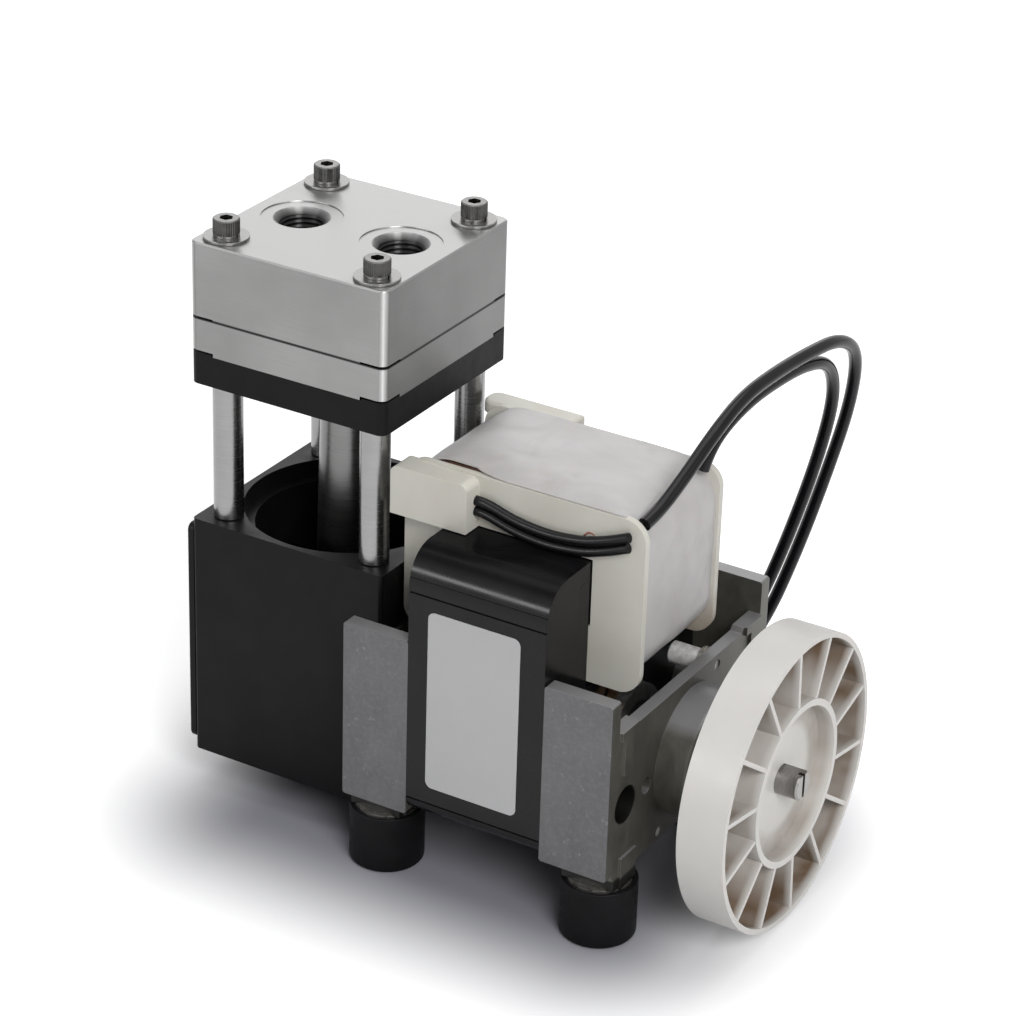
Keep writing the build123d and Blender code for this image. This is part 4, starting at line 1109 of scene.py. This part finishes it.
class PUMP_OT_leads(PumpStep):
    """The two free leads, and their tinned ends"""
    bl_idname = "pump.leads"
    bl_label = "Leads"

    def execute(self, context):
        thick = self.look.lead_diameter
        for name, points in lead_routes.items():
            lead = self.routed(name, points, thick)
            end = Vector(points[-1]) * MM
            along = (end - Vector(points[-2]) * MM).normalized()
            tip = self.stranded_tip(name + "_tip", thick * 0.27, end, along)
        return {"FINISHED"}

    def routed(self, name, points, thick):
        """The sheath along its route."""
        curve = bpy.data.curves.new(name + "_sheath", "CURVE")
        curve.dimensions = "3D"
        curve.resolution_u = 12
        curve.bevel_depth = 1.0
        curve.bevel_resolution = 6
        curve.use_fill_caps = True
        spline = curve.splines.new("NURBS")
        spline.points.add(len(points) - 1)
        for point, place in zip(spline.points, points):
            point.co = (*(c * MM for c in place), 1)
            point.radius = thick / 2
        spline.order_u = 3
        spline.use_endpoint_u = True
        lead = bpy.data.objects.new(name + "_sheath", curve)
        bpy.context.collection.objects.link(lead)
        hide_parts(name)
        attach(lead, "root")
        curve.materials.append(finish("lead"))
        return lead

    def stranded_tip(self, name, radius, end, along):
        """The twisted, tinned strands that stick out of the sheath."""
        deselect_all()
        bpy.ops.mesh.primitive_cylinder_add(vertices=28, radius=radius, depth=TIP_LENGTH, end_fill_type="NGON")
        tip = named(name)
        pick(tip, lambda e: abs(e.verts[0].co.z - e.verts[1].co.z) > TIP_LENGTH / 6, "EDGE")
        bpy.ops.mesh.subdivide(number_cuts=12)
        done_editing()
        with mesh_of(tip) as mesh:
            for vert in mesh.verts:
                strand = 1 - 0.14 * abs(math.sin(3.5 * (turn_of(vert.co) + vert.co.z * 500)))
                vert.co.x *= strand
                vert.co.y *= strand
        modify(tip, "BEVEL", width=0.2 * MM, segments=2, limit_method="ANGLE", angle_limit=math.radians(60))
        tip.rotation_mode = "QUATERNION"
        tip.rotation_quaternion = along.to_track_quat("Z", "Y")
        tip.location = end + along * TIP_LENGTH * 0.4
        smooth(settle(tip), 50)
        return added_to(tip, "root", finish("zinc"))


class PUMP_OT_fan(PumpStep):
    """Moulded fan with rounded rib edges"""
    bl_idname = "pump.fan"
    bl_label = "Fan"

    def execute(self, context):
        softened("fan", finish("fan"), self.look.moulding_edge)
        return {"FINISHED"}


class PUMP_OT_label(PumpStep):
    """The bare sticker on the stack"""
    bl_idname = "pump.label"
    bl_label = "Sticker"

    def execute(self, context):
        softened("label_plate", finish("label"), 0.06 * MM)
        return {"FINISHED"}


class PUMP_OT_feet(PumpStep):
    """Rubber feet with their bonded plates and inserts"""
    bl_idname = "pump.feet"
    bl_label = "Feet"

    def execute(self, context):
        softened("feet", finish("rubber"), 0.3 * MM, segments=3)
        finish_nodes(finish("zinc"), "foot_studs", "foot_inserts")
        return {"FINISHED"}


# ------------------------------------------------------------------ stage

def pale_floor():
    """A floor with a painted shadow: dark under the pump, pale round it, and white in the view further out."""
    deselect_all()
    bpy.ops.mesh.primitive_plane_add(size=6)
    floor = named("floor")
    material = bpy.data.materials.new("pale_floor")
    paint = Nodes(material)
    reach = paint.add("TexCoord").outputs["Object"]
    for operation, amount in (("SUBTRACT", FOOTPRINT_MIDDLE), ("ABSOLUTE", None), ("SUBTRACT", FOOTPRINT_HALF),
                              ("MAXIMUM", (0, 0, 0)), ("LENGTH", None)):
        step = paint.add("VectorMath", operation=operation)
        paint.join(reach, step.inputs[0])
        if amount is not None:
            step.inputs[1].default_value = amount
        reach = step.outputs["Value" if operation == "LENGTH" else "Vector"]

    # painted shadow: the floor's colour darkens towards the pump's footprint
    shade = paint.add("MapRange", interpolation_type="SMOOTHSTEP")
    shade.inputs["From Max"].default_value = SHADE_REACH
    paint.join(reach, shade.inputs["Value"])
    painted_shadow = paint.add("Mix", data_type="RGBA")
    painted_shadow.inputs[6].default_value = (*PAINTED_SHADOW_UNDER_PUMP, 1)
    painted_shadow.inputs[7].default_value = (*FLOOR_FURTHER_OUT, 1)
    paint.join(shade.outputs["Result"], painted_shadow.inputs[0])
    matt = paint.add("BsdfDiffuse")
    paint.join(painted_shadow.outputs[2], matt.inputs["Color"])

    fill = paint.add("MapRange", interpolation_type="SMOOTHSTEP")
    fill.inputs["From Max"].default_value = GLOW_REACH
    fill.inputs["To Max"].default_value = 0.5
    paint.join(reach, fill.inputs["Value"])
    glow = paint.glow("Emission", (1, 1, 1), 0.0)
    paint.join(fill.outputs["Result"], glow.inputs["Strength"])
    total = paint.add("AddShader")
    paint.join(matt.outputs[0], total.inputs[0])
    paint.join(paint.looked_at(paint.glow("Emission", (1, 1, 1), 0.0), glow).outputs[0], total.inputs[1])
    paint.join(total.outputs[0], paint.add("OutputMaterial").inputs["Surface"])
    floor.data.materials.append(material)
    return floor


def studio_world():
    """A dim even light, seen as white."""
    world = bpy.data.worlds.new("studio")
    sky = Nodes(world)
    mix = sky.looked_at(sky.glow("Background", (1, 1, 1), AMBIENT), sky.glow("Background", (1, 1, 1), 1.0))
    sky.join(mix.outputs[0], sky.add("OutputWorld").inputs["Surface"])
    return world


def soft_lamp(name, place, size, power, only_gloss=False):
    """An area lamp aimed at the pump: round for one size, and a rectangle for two."""
    lamp = bpy.data.lights.new(name, "AREA")
    lamp.shape = "RECTANGLE" if len(size) == 2 else "DISK"
    lamp.size = size[0]
    lamp.size_y = size[-1]
    lamp.energy = power
    holder = bpy.data.objects.new(name, lamp)
    holder.location = place
    holder.visible_diffuse = not only_gloss
    holder.rotation_euler = (LAMP_AIM - Vector(place)).to_track_quat("-Z", "Y").to_euler()
    bpy.context.collection.objects.link(holder)


def placed_camera(length):
    """The view: a lens at its place, turned round the pump, lifted over it and rolled a little."""
    lens = bpy.data.cameras.new("view")
    lens.lens = length
    lens.sensor_width = FILM_WIDTH
    lens.clip_start = 10 * MM
    turn, lift, roll = VIEW_TURN_LIFT_ROLL
    back = Vector((math.sin(turn) * math.cos(lift), -math.cos(turn) * math.cos(lift), math.sin(lift)))
    level = Vector((math.cos(turn), math.sin(turn), 0))
    rise = level.cross(-back)
    right = level * math.cos(roll) + rise * math.sin(roll)
    up = rise * math.cos(roll) - level * math.sin(roll)
    place = Matrix((right, up, back)).transposed().to_4x4()
    place.translation = VIEW_PLACE
    camera = bpy.data.objects.new("view", lens)
    camera.matrix_world = place
    bpy.context.collection.objects.link(camera)
    return camera


class PUMP_OT_stage(PumpStep):
    """Pale floor, soft lights and the view"""
    bl_idname = "pump.stage"
    bl_label = "Stage"

    def execute(self, context):
        floor = pale_floor()
        scene = context.scene
        scene.world = studio_world()
        key = self.look.key_light
        soft_lamp("top_light", (-0.1, 0.12, 1.3), (1.1, 0.9), key)
        soft_lamp("back_light", (-0.6, 0.9, 0.62), (0.9, 0.5), key * 0.3)
        soft_lamp("side_light", (1.25, -0.15, 0.7), (0.6, 0.8), key * 0.2)
        soft_lamp("front_light", (0.9, -0.82, 0.95), (0.75,), key * 2.6)
        soft_lamp("rim_light", (-0.52, -0.99, 0.5), (0.8, 0.17), key * 0.9, only_gloss=True)
        scene.camera = placed_camera(self.look.lens)
        scene.view_settings.view_transform = "Standard"
        return {"FINISHED"}


class PUMP_PT_panel(bpy.types.Panel):
    """The settings, and a button for each step"""
    bl_label = "Diaphragm vacuum pump"
    bl_idname = "PUMP_PT_panel"
    bl_space_type = "VIEW_3D"
    bl_region_type = "UI"
    bl_category = "Pump"

    def draw(self, context):
        for name in PumpLook.__annotations__:
            self.layout.prop(context.scene.pump_look, name)
        for step in steps:
            self.layout.operator(step.bl_idname)


steps = (
    PUMP_OT_head, PUMP_OT_port_threads, PUMP_OT_head_screws, PUMP_OT_posts, PUMP_OT_crankcase, PUMP_OT_brackets,
    PUMP_OT_stack, PUMP_OT_rotor, PUMP_OT_valves, PUMP_OT_coil, PUMP_OT_sleeves, PUMP_OT_leads, PUMP_OT_fan,
    PUMP_OT_label, PUMP_OT_feet, PUMP_OT_stage,
)


def register():
    bpy.utils.register_class(PumpLook)
    for step in steps:
        bpy.utils.register_class(step)
    bpy.utils.register_class(PUMP_PT_panel)
    bpy.types.Scene.pump_look = bpy.props.PointerProperty(type=PumpLook)


def unregister():
    del bpy.types.Scene.pump_look
    bpy.utils.unregister_class(PUMP_PT_panel)
    for step in reversed(steps):
        bpy.utils.unregister_class(step)
    bpy.utils.unregister_class(PumpLook)


def main():
    register()
    for step in steps:
        group, name = step.bl_idname.split(".")
        getattr(getattr(bpy.ops, group), name)()


if __name__ == "__main__":
    main()
